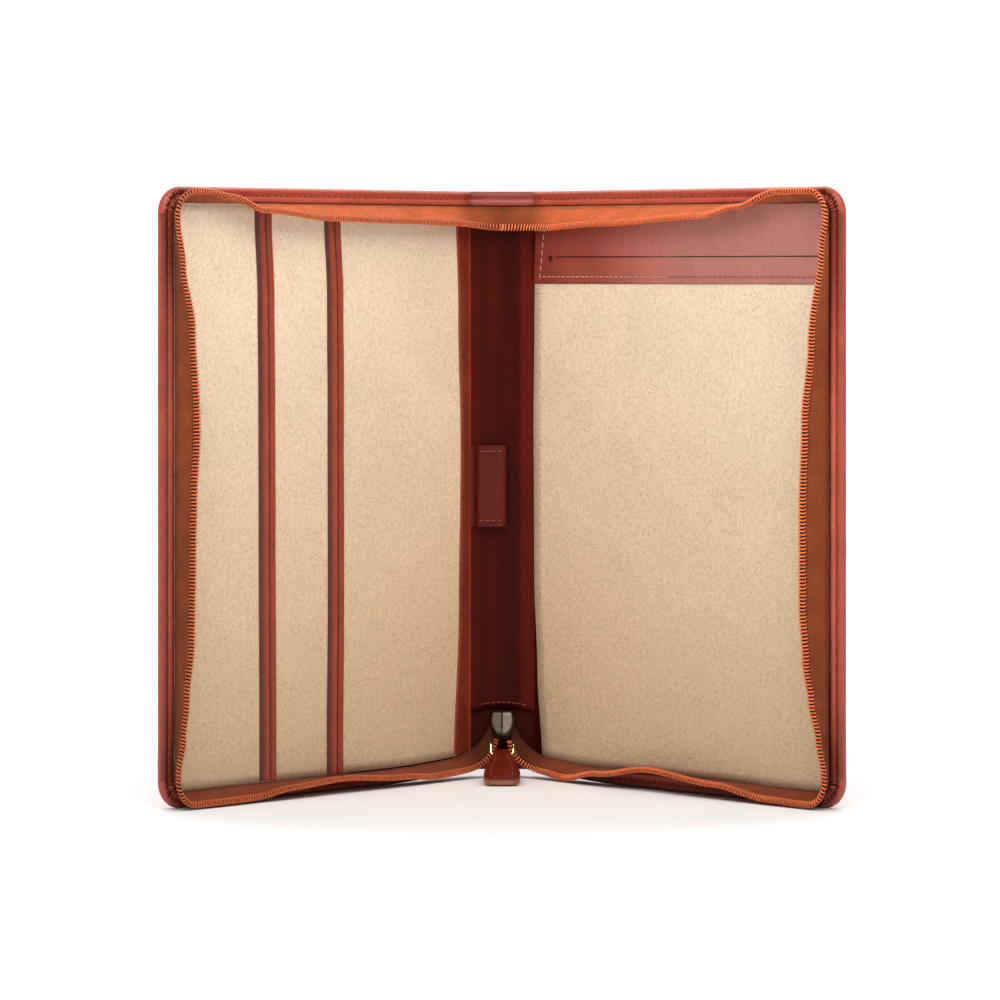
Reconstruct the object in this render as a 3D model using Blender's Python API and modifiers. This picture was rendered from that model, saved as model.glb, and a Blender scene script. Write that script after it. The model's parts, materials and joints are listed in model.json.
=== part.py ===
"""A zip-around leather portfolio case for A4 papers, standing open like a book.

Metres, +Z up. The hinge lines stand vertical and the covers come forward, towards -Y.
Each cover is built in its own frame: x runs along the cover from its hinge line (to the
right on the right cover, to the left on the left one), y points out of the case and z up.
"""

from math import asin, atan2, cos, pi, radians, sin, sqrt

import bmesh
import bpy
from mathutils import Matrix, Vector

# Overall sizes
HEIGHT = 0.340
COVER_WIDTH = 0.245  # from the hinge line to the fore-edge
SPINE_WIDTH = 0.037  # between the two hinge lines
LEAN = radians(47)  # of each cover from lying flat open
CORNER_RADIUS = 0.015
SEAM_GAP = 0.0003  # between pieces that touch

# The layers of a cover, from the inside out
LINING = 0.0007
BOARD = 0.0014
FOAM = 0.0008
LEATHER = 0.0011
LEATHER_ROUND = 0.0009  # on the outer edge of a cover

# The turned-in border and the bottom edge, which lifts off the table near the spine
BORDER_WIDTH = 0.0085
BORDER_THICKNESS = 0.0010
SPINE_LIFT = 0.004
LIFT_LENGTH = 0.082
BOARD_INSET = 0.0035  # of the stiff boards from the turned edge

# Pockets of the left cover, measured from the hinge line
POCKET_THICKNESS = 0.0007
POCKET_MARGIN = 0.015  # from the cover's top and bottom edges
MIDDLE_POCKET_EDGE = 0.172
FRONT_POCKET_EDGE = 0.1187
TRIM_WIDTH = 0.0125
TRIM_THICKNESS = 0.0009  # each leaf of the leather folded round a pocket's edge
HINGE_STRIP_WIDTH = 0.0076

# Panels of the right cover
PANEL_START = 0.003
PANEL_MARGIN = 0.0040  # from the turned edge
SLOT_PANEL_BOTTOM = 0.286
SLIT_HEIGHT = 0.3016
SLIT_WIDTH = 0.0012
SLIT_START = 0.020
SLIT_END = 0.222
PUNCHED_HOLE = 0.0025
PUNCHED_HOLE_PLACE = 0.0135

# Spine lining and pen loop
LINING_BOTTOM = 0.038
LINING_ARCH = 0.003
PEN_LOOP_BOTTOM = 0.146
PEN_LOOP_HEIGHT = 0.0475
PEN_LOOP_LEATHER = 0.0011
PEN_LOOP_BORE = 0.0115  # widest across the spine
PEN_LOOP_REACH = 0.0105  # clear depth off the spine
PEN_LOOP_FLANGE = 0.0030
PEN_LOOP_START = 0.0026  # from the left hinge line

# Zip: a woven tape with a coil along its free edge
TAPE_WIDTH = 0.0095
TAPE_THICKNESS = 0.0006
TAPE_FROM_HINGE = 0.002
COIL_DIAMETER = 0.0034
CORNER_TAPE_LEAN = radians(98)  # from the face of the cover
SIDE_TAPE_LEAN = radians(52)
TOP_TAPE_LEAN = radians(40)
COVER_STEPS = 16  # along each straight run of the tape
CORNER_STEPS = 8
SPINE_STEPS = 6
LEAD_STEPS = 6  # from the slider to the cover
LEAD_PULL = 0.004
LEAD_SPREAD = 0.004
LEAD_CLEARANCE = 0.0018  # to the slider and its ring

# Slider: its plates stand with the nose up and the mouth down and forwards
SLIDER_WIDTH = 0.0125
SLIDER_NOSE_WIDTH = 0.0086
SLIDER_LENGTH = 0.0145
SLIDER_WING = 0.0011
SLIDER_CHANNEL = 0.0034
SLIDER_POST_WIDTH = 0.0024
SLIDER_POST_LENGTH = 0.0050
SLIDER_MOUTH_RADIUS = 0.0030
SLIDER_LEAN = radians(24)  # of its plates from upright
SLIDER_PLACE = (0.0, -0.0098, 0.0305)  # the middle of the slider, from the hinge plane
BRIDGE_WIDTH = 0.0030
BRIDGE_LENGTH = 0.0088
BRIDGE_METAL = 0.0010
BRIDGE_REACH = 0.0036
PAWL_WIDTH = 0.0016
PAWL_METAL = 0.0003

# Pull ring and leather pull tab
RING_WIRE = 0.0013
RING_WIDTH = 0.0130  # between the middles of its legs
RING_CORNER = 0.0013
RING_LENGTH = 0.0150  # between the middles of its bars
RING_TILT = radians(30)  # from hanging straight down, forwards
TAB_LENGTH = 0.045  # from the ring's bar to its end
TAB_WIDTH = 0.021
TAB_NECK_LENGTH = 0.006
TAB_END_RADIUS = 0.0055
TAB_LEATHER = 0.0014
TAB_CORE = 0.0010
TAB_CORE_INSET = 0.0035
TAB_REST = 0.0001  # under the tab's end

ARC_STEPS = 8
SMOOTH_ANGLE = radians(35)

# Worked out from the sizes above
FACE_OUT = LINING + BOARD + FOAM + LEATHER + 3 * SEAM_GAP  # y of the outer face
LEATHER_IN = FACE_OUT - LEATHER  # y of the leather's inner face
BOARD_IN = LINING + SEAM_GAP
FOAM_IN = BOARD_IN + BOARD + SEAM_GAP
BORDER_OUT = -SEAM_GAP  # y of the border's seat on the lining
BORDER_FACE = BORDER_OUT - BORDER_THICKNESS
BORDER_SETBACK = SEAM_GAP - BORDER_FACE  # of a cover's turned edge from the hinge line

LEATHER_COLOUR = (0.30, 0.045, 0.030)
LINING_COLOUR = (0.085, 0.015, 0.012)
TRIM_COLOUR = (0.28, 0.050, 0.035)
SUEDE_COLOUR = (0.80, 0.62, 0.45)
ZIP_COLOUR = (0.70, 0.20, 0.06)
METAL_COLOUR = (0.55, 0.55, 0.56)
BRASS_COLOUR = (0.75, 0.55, 0.25)
BOARD_COLOUR = (0.32, 0.29, 0.25)
FOAM_COLOUR = (0.80, 0.79, 0.74)


STAND_UP = Matrix.Rotation(radians(90), 4, "X")  # a flat outline to (x, z)
SIDEWAYS = Matrix(((0, 0, -1, 0), (-1, 0, 0, 0), (0, 1, 0, 0), (0, 0, 0, 1)))  # to (-y, z)


# ---------------------------------------------------------------- scene and materials
def clear_scene():
    for obj in list(bpy.data.objects):
        bpy.data.objects.remove(obj)


def new_collection(name, hidden=False):
    collection = bpy.data.collections.new(name)
    bpy.context.scene.collection.children.link(collection)
    collection.hide_render = hidden
    return collection


def material(name, colour, roughness, metallic=0.0):
    made = bpy.data.materials.new(name)
    made.use_nodes = True
    shader = made.node_tree.nodes["Principled BSDF"]
    shader.inputs["Base Color"].default_value = (*colour, 1.0)
    shader.inputs["Roughness"].default_value = roughness
    shader.inputs["Metallic"].default_value = metallic
    made.diffuse_color = (*colour, 1.0)
    return made


def empty(name, location, turn=0.0, parent=None):
    """An empty that stands on a joint's axis, turned about Z."""
    made = bpy.data.objects.new(name, None)
    made.location = location
    made.rotation_euler = (0.0, 0.0, turn)
    made.parent = parent
    PARTS.objects.link(made)
    return made


# ---------------------------------------------------------------- solids
def finish(bm, name, parent, made_of, smooth=True):
    """Turns a bmesh into an object of the case."""
    bmesh.ops.recalc_face_normals(bm, faces=bm.faces)
    mesh = bpy.data.meshes.new(name)
    bm.to_mesh(mesh)
    bm.free()
    return place(mesh, name, parent, made_of, smooth)


def place(mesh, name, parent, made_of, smooth=True):
    obj = bpy.data.objects.new(name, mesh)
    obj.parent = parent
    if made_of is None:
        obj.hide_render = True
        obj.display_type = "WIRE"
        CUTTERS.objects.link(obj)
        return obj
    mesh.materials.clear()
    mesh.materials.append(made_of)
    if smooth:
        mesh.shade_smooth()
        mesh.set_sharp_from_angle(angle=SMOOTH_ANGLE)
    PARTS.objects.link(obj)
    return obj


def mesh_from_curve(curve, name, turn):
    """The mesh of a curve with its caps welded and its own turn applied."""
    helper = bpy.data.objects.new(name, curve)
    bpy.context.scene.collection.objects.link(helper)
    graph = bpy.context.evaluated_depsgraph_get()
    mesh = bpy.data.meshes.new_from_object(helper.evaluated_get(graph))
    bpy.data.objects.remove(helper)
    bpy.data.curves.remove(curve)
    bm = bmesh.new()
    bm.from_mesh(mesh)
    bmesh.ops.remove_doubles(bm, verts=bm.verts, dist=1e-6)
    bmesh.ops.transform(bm, matrix=turn, verts=bm.verts)
    bmesh.ops.recalc_face_normals(bm, faces=bm.faces)
    bm.to_mesh(mesh)
    bm.free()
    return mesh


def spline_of(curve, points, closed):
    spline = curve.splines.new("POLY")
    spline.points.add(len(points) - 1)
    for point, place_of in zip(spline.points, points):
        point.co = (*place_of, 1.0)
    spline.use_cyclic_u = closed


def extruded(name, outline, thickness, turn, parent, made_of):
    """A flat outline made solid, half its thickness to each side, and turned into place."""
    curve = bpy.data.curves.new(name, "CURVE")
    curve.dimensions = "2D"
    curve.fill_mode = "BOTH"
    curve.extrude = thickness / 2
    spline_of(curve, [(u, v, 0.0) for u, v in outline], closed=True)
    return place(mesh_from_curve(curve, name, turn), name, parent, made_of)


def slab(name, outline, y_in, y_out, parent, made_of, turn=Matrix.Identity(4)):
    """A flat piece: an outline of (x, z) points that is solid from y_in to y_out."""
    move = Matrix.Translation((0.0, (y_in + y_out) / 2, 0.0))
    return extruded(name, outline, y_out - y_in, turn @ move @ STAND_UP, parent, made_of)


def column(name, section, low, high, parent, made_of):
    """An upright piece: a section of (x, y) points that is solid from z = low to high."""
    move = Matrix.Translation((0.0, 0.0, (low + high) / 2))
    return extruded(name, section, high - low, move, parent, made_of)


def tube(name, points, diameter, parent, made_of, closed=False, sides=2):
    """A round cord or wire along points."""
    curve = bpy.data.curves.new(name, "CURVE")
    curve.dimensions = "3D"
    curve.bevel_depth = diameter / 2
    curve.bevel_resolution = sides
    curve.use_fill_caps = not closed
    spline_of(curve, points, closed)
    mesh = mesh_from_curve(curve, name, Matrix.Identity(4))
    return place(mesh, name, parent, made_of)


def ribbon(name, rows, thickness, parent, made_of):
    """A strip of cloth or leather between rows of points, each row one station along it."""
    bm = bmesh.new()
    grid = [[bm.verts.new(point) for point in row] for row in rows]
    for row, following in zip(grid, grid[1:]):
        for i in range(len(row) - 1):
            bm.faces.new((row[i], row[i + 1], following[i + 1], following[i]))
    obj = finish(bm, name, parent, made_of)
    solid = obj.modifiers.new("thickness", "SOLIDIFY")
    solid.thickness = thickness
    solid.offset = 0.0
    solid.use_even_offset = True
    return obj


def cut(obj, cutter):
    boolean = obj.modifiers.new("cut " + cutter.name, "BOOLEAN")
    boolean.operation = "DIFFERENCE"
    boolean.object = cutter


def round_edges(obj, width, segments=2):
    bevel = obj.modifiers.new("rounded", "BEVEL")
    bevel.width = width
    bevel.segments = segments
    bevel.limit_method = "ANGLE"
    bevel.angle_limit = radians(50)


def arc(centre, radius, start, end, steps):
    """Points of an arc, both ends included."""
    cx, cz = centre
    angles = [start + (end - start) * i / steps for i in range(steps + 1)]
    return [(cx + radius * cos(a), cz + radius * sin(a)) for a in angles]


def rectangle(x_low, x_high, z_low, z_high):
    return [(x_low, z_low), (x_high, z_low), (x_high, z_high), (x_low, z_high)]


# ---------------------------------------------------------------- outlines
def lift(s):
    """How far the bottom edge stands off the table at s from the hinge line."""
    share = max(0.0, 1.0 - s / LIFT_LENGTH)
    return SPINE_LIFT * share * share


def cover_outline(side, start, inset, radius, end=COVER_WIDTH):
    """The outline of a cover from s = start to its fore-edge, inset from its edges."""
    far = end - inset
    low, high = inset, HEIGHT - inset
    steps = 6
    bottom = [start + (LIFT_LENGTH - start) * i / steps for i in range(steps + 1)]
    points = [(s, low + lift(s)) for s in bottom]
    if radius > 0:
        points += arc((far - radius, low + radius), radius, -pi / 2, 0.0, ARC_STEPS)
        points += arc((far - radius, high - radius), radius, 0.0, pi / 2, ARC_STEPS)
    else:
        points += [(far, low), (far, high)]
    points.append((start, high))
    return [(side * s, z) for s, z in points]


# ---------------------------------------------------------------- covers
def cover_leather(name, side, hinge):
    """The outer leather with its edges turned in over the lining, as one skin."""
    start = SEAM_GAP
    skin = slab(name, cover_outline(side, start, 0.0, CORNER_RADIUS),
                BORDER_FACE, FACE_OUT, hinge, LEATHER_MADE)
    round_edges(skin, LEATHER_ROUND)
    inside = CORNER_RADIUS - LEATHER
    room = slab(name + "_room", cover_outline(side, -LEATHER, LEATHER, inside),
                BORDER_OUT, LEATHER_IN, hinge, None)
    window_radius = max(CORNER_RADIUS - BORDER_WIDTH, LEATHER)
    window = slab(name + "_window", cover_outline(side, -LEATHER, BORDER_WIDTH, window_radius),
                  BORDER_FACE - LEATHER, LINING, hinge, None)
    # at the hinge the turned edge stops short, so that it clears the spine's when closed
    fold = slab(name + "_fold", [(side * s, z) for s, z in
                                 rectangle(-LEATHER, BORDER_SETBACK, -LEATHER, HEIGHT + LEATHER)],
                BORDER_FACE - LEATHER, 0.0, hinge, None)
    for cutter in (room, window, fold):
        cut(skin, cutter)
    return skin


def cover_layers(prefix, side, hinge):
    """The suede lining, the stiff board and the padding inside one cover."""
    inset = LEATHER + SEAM_GAP
    radius = CORNER_RADIUS - inset
    slab(prefix + "_suede_lining", cover_outline(side, SEAM_GAP, inset, radius),
         0.0, LINING, hinge, SUEDE_MADE)
    stiff_radius = max(CORNER_RADIUS - BOARD_INSET, inset)
    slab(prefix + "_cover_board", cover_outline(side, BOARD_INSET, BOARD_INSET, stiff_radius),
         BOARD_IN, BOARD_IN + BOARD, hinge, BOARD_MADE)
    slab(prefix + "_cover_padding", cover_outline(side, BOARD_INSET, BOARD_INSET, stiff_radius),
         FOAM_IN, FOAM_IN + FOAM, hinge, FOAM_MADE)


def pocket(name, side, edge, layer, hinge):
    """A suede pocket panel with its open edge towards the fore-edge, and its leather trim.

    layer 0 lies on the suede lining and each further layer on the one before."""
    seat = -SEAM_GAP - layer * (POCKET_THICKNESS + SEAM_GAP)
    face = seat - POCKET_THICKNESS
    low, high = POCKET_MARGIN, HEIGHT - POCKET_MARGIN
    start = HINGE_STRIP_WIDTH + SEAM_GAP if layer else SEAM_GAP
    suede_end = edge - TRIM_WIDTH - SEAM_GAP
    xs = sorted((side * start, side * suede_end))
    slab(name, rectangle(*xs, low, high), face, seat, hinge, SUEDE_MADE)
    xs = sorted((side * (edge - TRIM_WIDTH), side * edge))
    trim = slab(name + "_trim", rectangle(*xs, low, high),
                face - TRIM_THICKNESS, seat, hinge, TRIM_MADE)
    round_edges(trim, TRIM_THICKNESS / 3)


def hinge_strip(side, hinge):
    """The leather strip that covers the pocket panels' sewn edge beside the spine."""
    xs = sorted((side * SEAM_GAP, side * HINGE_STRIP_WIDTH))
    seat = -2 * SEAM_GAP - POCKET_THICKNESS
    slab("left_hinge_strip", rectangle(*xs, POCKET_MARGIN, HEIGHT - POCKET_MARGIN),
         seat - TRIM_THICKNESS, seat, hinge, TRIM_MADE)


def slot_panel(side, hinge):
    """The leather panel whose slit holds a writing pad's card back."""
    xs = sorted((side * PANEL_START, side * (COVER_WIDTH - BORDER_WIDTH - PANEL_MARGIN)))
    seat = -2 * SEAM_GAP - POCKET_THICKNESS
    face = seat - TRIM_THICKNESS
    panel = slab("right_slot_panel",
                 rectangle(*xs, SLOT_PANEL_BOTTOM, HEIGHT - BORDER_WIDTH - PANEL_MARGIN),
                 face, seat, hinge, TRIM_MADE)
    xs = sorted((side * SLIT_START, side * SLIT_END))
    half = SLIT_WIDTH / 2
    slit = slab("slit_cutter", rectangle(*xs, SLIT_HEIGHT - half, SLIT_HEIGHT + half),
                face - TRIM_THICKNESS, seat + SEAM_GAP / 2, hinge, None)
    hole_at = (side * PUNCHED_HOLE_PLACE, SLIT_HEIGHT)
    hole = slab("hole_cutter", arc(hole_at, PUNCHED_HOLE / 2, 0.0, 2 * pi, 2 * ARC_STEPS)[:-1],
                face - TRIM_THICKNESS, seat + SEAM_GAP / 2, hinge, None)
    cut(panel, slit)
    cut(panel, hole)


def writing_panel(side, hinge):
    """The suede panel behind a writing pad, over the lining of the right cover."""
    inset = BORDER_WIDTH + 2 * SEAM_GAP
    radius = max(CORNER_RADIUS - inset, LEATHER)
    slab("right_suede_panel", cover_outline(side, PANEL_START, inset, radius),
         -SEAM_GAP - POCKET_THICKNESS, -SEAM_GAP, hinge, SUEDE_MADE)


# ---------------------------------------------------------------- zip
def smooth_step(share):
    share = min(max(share, 0.0), 1.0)
    return share * share * (3 - 2 * share)


def straight_lean(share, middle, end):
    """The tape's lean along a straight run: the corner's at 0, its own in the middle."""
    nearest = min(share, 1.0 - share)
    blend = smooth_step(nearest / 0.3)
    from_corner = CORNER_TAPE_LEAN if share < 0.5 else end
    return from_corner + (middle - from_corner) * blend


def tape_stations(side):
    """(x, z, inward x, inward z, lean) along a cover's seam, from the spine's foot round
    the fore-edge to the spine's top."""
    inset = BORDER_WIDTH + SEAM_GAP + TAPE_THICKNESS
    radius = max(CORNER_RADIUS - BORDER_WIDTH, 2 * TAPE_THICKNESS)
    far = COVER_WIDTH - inset
    low, high = inset, HEIGHT - inset
    found = []
    for i in range(COVER_STEPS):
        share = i / COVER_STEPS
        s = far - radius - (far - radius - TAPE_FROM_HINGE) * (1 - share)
        lean = straight_lean(1 - share, SIDE_TAPE_LEAN, CORNER_TAPE_LEAN)
        found.append((s, low + lift(s), 0.0, 1.0, lean))
    for i in range(CORNER_STEPS + 1):
        a = -pi / 2 + pi / 2 * i / CORNER_STEPS
        found.append((far - radius + radius * cos(a), low + radius + radius * sin(a),
                      -cos(a), -sin(a), CORNER_TAPE_LEAN))
    for i in range(1, COVER_STEPS):
        share = i / COVER_STEPS
        z = low + radius + (high - low - 2 * radius) * share
        lean = straight_lean(share, SIDE_TAPE_LEAN, CORNER_TAPE_LEAN)
        found.append((far, z, -1.0, 0.0, lean))
    for i in range(CORNER_STEPS + 1):
        a = pi / 2 * i / CORNER_STEPS
        found.append((far - radius + radius * cos(a), high - radius + radius * sin(a),
                      -cos(a), -sin(a), CORNER_TAPE_LEAN))
    for i in range(1, COVER_STEPS + 1):
        share = i / COVER_STEPS
        s = far - radius - (far - radius - TAPE_FROM_HINGE) * share
        lean = straight_lean(share, TOP_TAPE_LEAN, TOP_TAPE_LEAN)
        found.append((s, high, 0.0, -1.0, lean))
    return [(side * s, z, side * ds, dz, lean) for s, z, ds, dz, lean in found]


def off_tape(station, reach, proud):
    """The point that is reach along the tape from its seam, which stands proud of the lining."""
    x, z, dx, dz, lean = station
    along, off = reach * cos(lean), reach * sin(lean)
    return (x + dx * along, proud - off, z + dz * along)


def between(start, start_pull, end_pull, end, steps):
    """Points of a smooth curve from start to end, without its end."""
    found = []
    for i in range(steps):
        t = i / steps
        found.append((1 - t) ** 3 * start + 3 * t * (1 - t) ** 2 * start_pull
                     + 3 * t * t * (1 - t) * end_pull + t ** 3 * end)
    return found


def zip_half(prefix, side, hinge):
    """A cover's zip tape and the coil along its free edge, led in from beside the slider."""
    stations = tape_stations(side)
    proud = BORDER_FACE - TAPE_THICKNESS
    middle = TAPE_WIDTH + COIL_DIAMETER / 2 + SEAM_GAP
    to_hinge = Matrix.Rotation(side * LEAN, 4, "Z")
    to_hinge = to_hinge @ Matrix.Translation((-side * SPINE_WIDTH / 2, 0.0, 0.0))
    beside = SLIDER_WIDTH / 2 + COIL_DIAMETER / 2 + LEAD_CLEARANCE
    mouth = Vector((side * beside, SLIDER_PLACE[1] - SLIDER_CHANNEL / 2,
                    SLIDER_PLACE[2] - SLIDER_LENGTH / 2))
    seam_top = Vector((side * (beside + LEAD_SPREAD), BORDER_FACE - TAPE_THICKNESS, mouth.z))
    sides = []
    for top, reach in ((seam_top, 0.0), (mouth, middle)):
        foot = Vector(off_tape(stations[0], reach, proud))
        ahead = Vector(off_tape(stations[1], reach, proud))
        lead = (foot - ahead).normalized() * LEAD_PULL
        top = to_hinge @ top
        down = Vector((0.0, 0.0, -LEAD_PULL))
        sides.append(between(top, top + down, foot + lead, foot, LEAD_STEPS))
    seam, coil = sides
    rows = [(a, a.lerp(b, TAPE_WIDTH / 2 / middle), a.lerp(b, TAPE_WIDTH / middle))
            for a, b in zip(seam, coil)]
    rows += [(off_tape(at, 0.0, proud), off_tape(at, TAPE_WIDTH / 2, proud),
              off_tape(at, TAPE_WIDTH, proud)) for at in stations]
    ribbon(prefix + "_zip_tape", rows, TAPE_THICKNESS, hinge, ZIP_MADE)
    points = coil + [off_tape(at, middle, proud) for at in stations]
    tube(prefix + "_zip_coil", points, COIL_DIAMETER, hinge, ZIP_MADE)


def zip_across_spine():
    """The tape and coil that cross the top of the spine from cover to cover."""
    inset = BORDER_WIDTH + SEAM_GAP + TAPE_THICKNESS
    proud = BORDER_FACE - TAPE_THICKNESS
    middle = TAPE_WIDTH + COIL_DIAMETER / 2 + SEAM_GAP
    lean = TOP_TAPE_LEAN
    # where the covers' coils end, which lean in from both sides
    inwards = (middle * sin(lean) - proud) * sin(LEAN) - TAPE_FROM_HINGE * cos(LEAN)
    half = SPINE_WIDTH / 2 - inwards - COIL_DIAMETER / 2 - SEAM_GAP
    stations = [(half * (2 * i / SPINE_STEPS - 1), HEIGHT - inset, 0.0, -1.0, lean)
                for i in range(SPINE_STEPS + 1)]
    rows = [(off_tape(at, 0.0, proud), off_tape(at, TAPE_WIDTH, proud)) for at in stations]
    ribbon("spine_zip_tape", rows, TAPE_THICKNESS, ROOT, ZIP_MADE)
    tube("spine_zip_coil", [off_tape(at, middle, proud) for at in stations],
         COIL_DIAMETER, ROOT, ZIP_MADE)


# ---------------------------------------------------------------- spine
def spine():
    half = SPINE_WIDTH / 2 - SEAM_GAP
    skin = slab("spine_leather", rectangle(-half, half, SPINE_LIFT, HEIGHT),
                BORDER_FACE, FACE_OUT, ROOT, LEATHER_MADE)
    wide = half + LEATHER
    low, high = SPINE_LIFT - LEATHER, HEIGHT - LEATHER
    room = slab("spine_room", rectangle(-wide, wide, low, high),
                BORDER_OUT, LEATHER_IN, ROOT, None)
    window = slab("spine_window", rectangle(-wide, wide, low, HEIGHT - BORDER_WIDTH),
                  BORDER_FACE - LEATHER, LINING, ROOT, None)
    cut(skin, room)
    cut(skin, window)
    board_half = half - BOARD_INSET
    board_low = LINING_BOTTOM + LINING_ARCH + BOARD_INSET
    slab("spine_board", rectangle(-board_half, board_half, board_low, HEIGHT - BOARD_INSET),
         BOARD_IN, BOARD_IN + BOARD, ROOT, BOARD_MADE)
    steps = 2 * ARC_STEPS
    across = [2 * i / steps - 1 for i in range(steps + 1)]
    foot = [(half * t, LINING_BOTTOM + LINING_ARCH * cos(pi / 2 * t)) for t in across]
    top = HEIGHT - LEATHER - SEAM_GAP
    slab("spine_lining", foot + [(half, top), (-half, top)], 0.0, LINING, ROOT, LINING_MADE)


def pen_loop():
    """A strip of lining leather sewn down at one side, with a rounded bore for a pen."""
    leather = PEN_LOOP_LEATHER
    seat = -SEAM_GAP
    start = -SPINE_WIDTH / 2 + PEN_LOOP_START
    near = start + PEN_LOOP_FLANGE
    outer = PEN_LOOP_BORE / 2 + leather
    middle = near + outer
    far = near + 2 * outer
    crown_at = seat - (PEN_LOOP_REACH - PEN_LOOP_BORE / 2)
    section = [(start, seat), (start, seat - leather), (near, seat - leather)]
    section += arc((middle, crown_at), outer, pi, 2 * pi, ARC_STEPS)
    section += [(far, seat), (far - leather, seat)]
    section += arc((middle, crown_at), outer - leather, 2 * pi, pi, ARC_STEPS)
    section += [(near + leather, seat)]
    column("pen_loop", section, PEN_LOOP_BOTTOM, PEN_LOOP_BOTTOM + PEN_LOOP_HEIGHT,
           ROOT, LINING_MADE)


def hinge_leather(name, side):
    """The outer leather where it bends round a hinge line, between spine and cover."""
    clear = 2 * asin(SEAM_GAP / LEATHER_IN)
    start, end = pi / 2 - LEAN + clear, pi / 2 - clear
    section = arc((0.0, 0.0), FACE_OUT, start, end, ARC_STEPS)
    section += arc((0.0, 0.0), LEATHER_IN, end, start, ARC_STEPS)
    section = [(side * (SPINE_WIDTH / 2 + x), y) for x, y in section]
    column(name, section, SPINE_LIFT, HEIGHT, ROOT, LEATHER_MADE)


# ---------------------------------------------------------------- slider and pull
def slider_parts(at_slider):
    """The slider's body, the bridge that holds the ring, and the locking pawl under it.

    In the slider's own frame x runs across, y points to the spine and z to the nose."""
    half, nose = SLIDER_WIDTH / 2, SLIDER_NOSE_WIDTH / 2
    low, high = -SLIDER_LENGTH / 2, SLIDER_LENGTH / 2
    depth = SLIDER_CHANNEL + 2 * SLIDER_WING
    post, post_foot = SLIDER_POST_WIDTH / 2, high - SLIDER_POST_LENGTH
    round_at = low + SLIDER_MOUTH_RADIUS
    corner = half - SLIDER_MOUTH_RADIUS
    outline = [(nose, high), (-nose, high), (-half, post_foot)]
    outline += arc((-corner, round_at), SLIDER_MOUTH_RADIUS, pi, 1.5 * pi, ARC_STEPS // 2)
    outline += arc((corner, round_at), SLIDER_MOUTH_RADIUS, -pi / 2, 0.0, ARC_STEPS // 2)
    outline += [(half, post_foot)]
    body = slab("slider_body", outline, -depth / 2, depth / 2, SLIDER, METAL_MADE, at_slider)
    past = SLIDER_WIDTH
    way = [(-past, -past), (past, -past), (past, past), (post, past), (post, post_foot),
           (0.0, post_foot - post), (-post, post_foot), (-post, past), (-past, past)]
    lanes = slab("slider_lanes", way, -SLIDER_CHANNEL / 2, SLIDER_CHANNEL / 2,
                 SLIDER, None, at_slider)
    cut(body, lanes)
    seat = depth / 2 + SEAM_GAP
    long, metal = BRIDGE_LENGTH / 2, BRIDGE_METAL
    crest, under = seat + BRIDGE_REACH, seat + BRIDGE_REACH - BRIDGE_METAL
    arch = [(-seat, -long), (-crest, -long + metal), (-crest, long - metal), (-seat, long),
            (-seat, long - 1.6 * metal), (-under, long - 2 * metal),
            (-under, -long + 2 * metal), (-seat, -long + 1.6 * metal)]
    extruded("slider_bridge", arch, BRIDGE_WIDTH, at_slider @ SIDEWAYS, SLIDER, METAL_MADE)
    pawl_end = long - 1.6 * metal - SEAM_GAP
    pawl_out = seat + PAWL_METAL
    pawl = [(-seat, -pawl_end), (-pawl_out, -pawl_end), (-pawl_out, pawl_end),
            (-seat, pawl_end)]
    extruded("slider_lock_pawl", pawl, PAWL_WIDTH, at_slider @ SIDEWAYS, SLIDER, METAL_MADE)


def ring_place(at_slider):
    """The middle of the ring's upper bar, which hangs in the bridge."""
    seat = SLIDER_CHANNEL / 2 + SLIDER_WING + SEAM_GAP
    off = seat + BRIDGE_REACH - BRIDGE_METAL - SEAM_GAP - RING_WIRE / 2
    down = BRIDGE_LENGTH / 2 - 2 * BRIDGE_METAL - SEAM_GAP - RING_WIRE / 2
    return at_slider @ Vector((0.0, off, -down))


def pull_ring():
    """A rectangular wire ring with rounded corners that hangs from the bridge."""
    half = RING_WIDTH / 2
    radius = RING_CORNER
    low = -RING_LENGTH
    steps = ARC_STEPS // 2
    outline = arc((half - radius, -radius), radius, pi / 2, 0.0, steps)
    outline += arc((half - radius, low + radius), radius, 0.0, -pi / 2, steps)
    outline += arc((radius - half, low + radius), radius, -pi / 2, -pi, steps)
    outline += arc((radius - half, -radius), radius, -pi, -1.5 * pi, steps)
    tilt = Matrix.Rotation(-RING_TILT, 3, "X")
    points = [tilt @ Vector((x, 0.0, z)) for x, z in outline]
    tube("pull_ring", points, RING_WIRE, RING, BRASS_MADE, closed=True)


def tab_slope(bar_height):
    """How steeply the tab runs down from the ring's bar, so that its end rests on the table."""
    half = TAB_CORE / 2 + SEAM_GAP + TAB_LEATHER
    reach = sqrt(TAB_LENGTH ** 2 + half ** 2)
    return asin((bar_height - TAB_REST) / reach) - atan2(half, TAB_LENGTH)


def tab_outline(inset, neck, start, length):
    """Half the tab's width at its neck, flaring to a broad end with round corners."""
    half = TAB_WIDTH / 2 - inset
    radius = max(TAB_END_RADIUS - inset, TAB_CORE)
    far = length - inset
    right = [(start, neck), (TAB_NECK_LENGTH, neck)]
    right += arc((far - radius, half - radius), radius, pi / 2, 0.0, ARC_STEPS)
    return right + [(u, -v) for u, v in reversed(right)]


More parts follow.
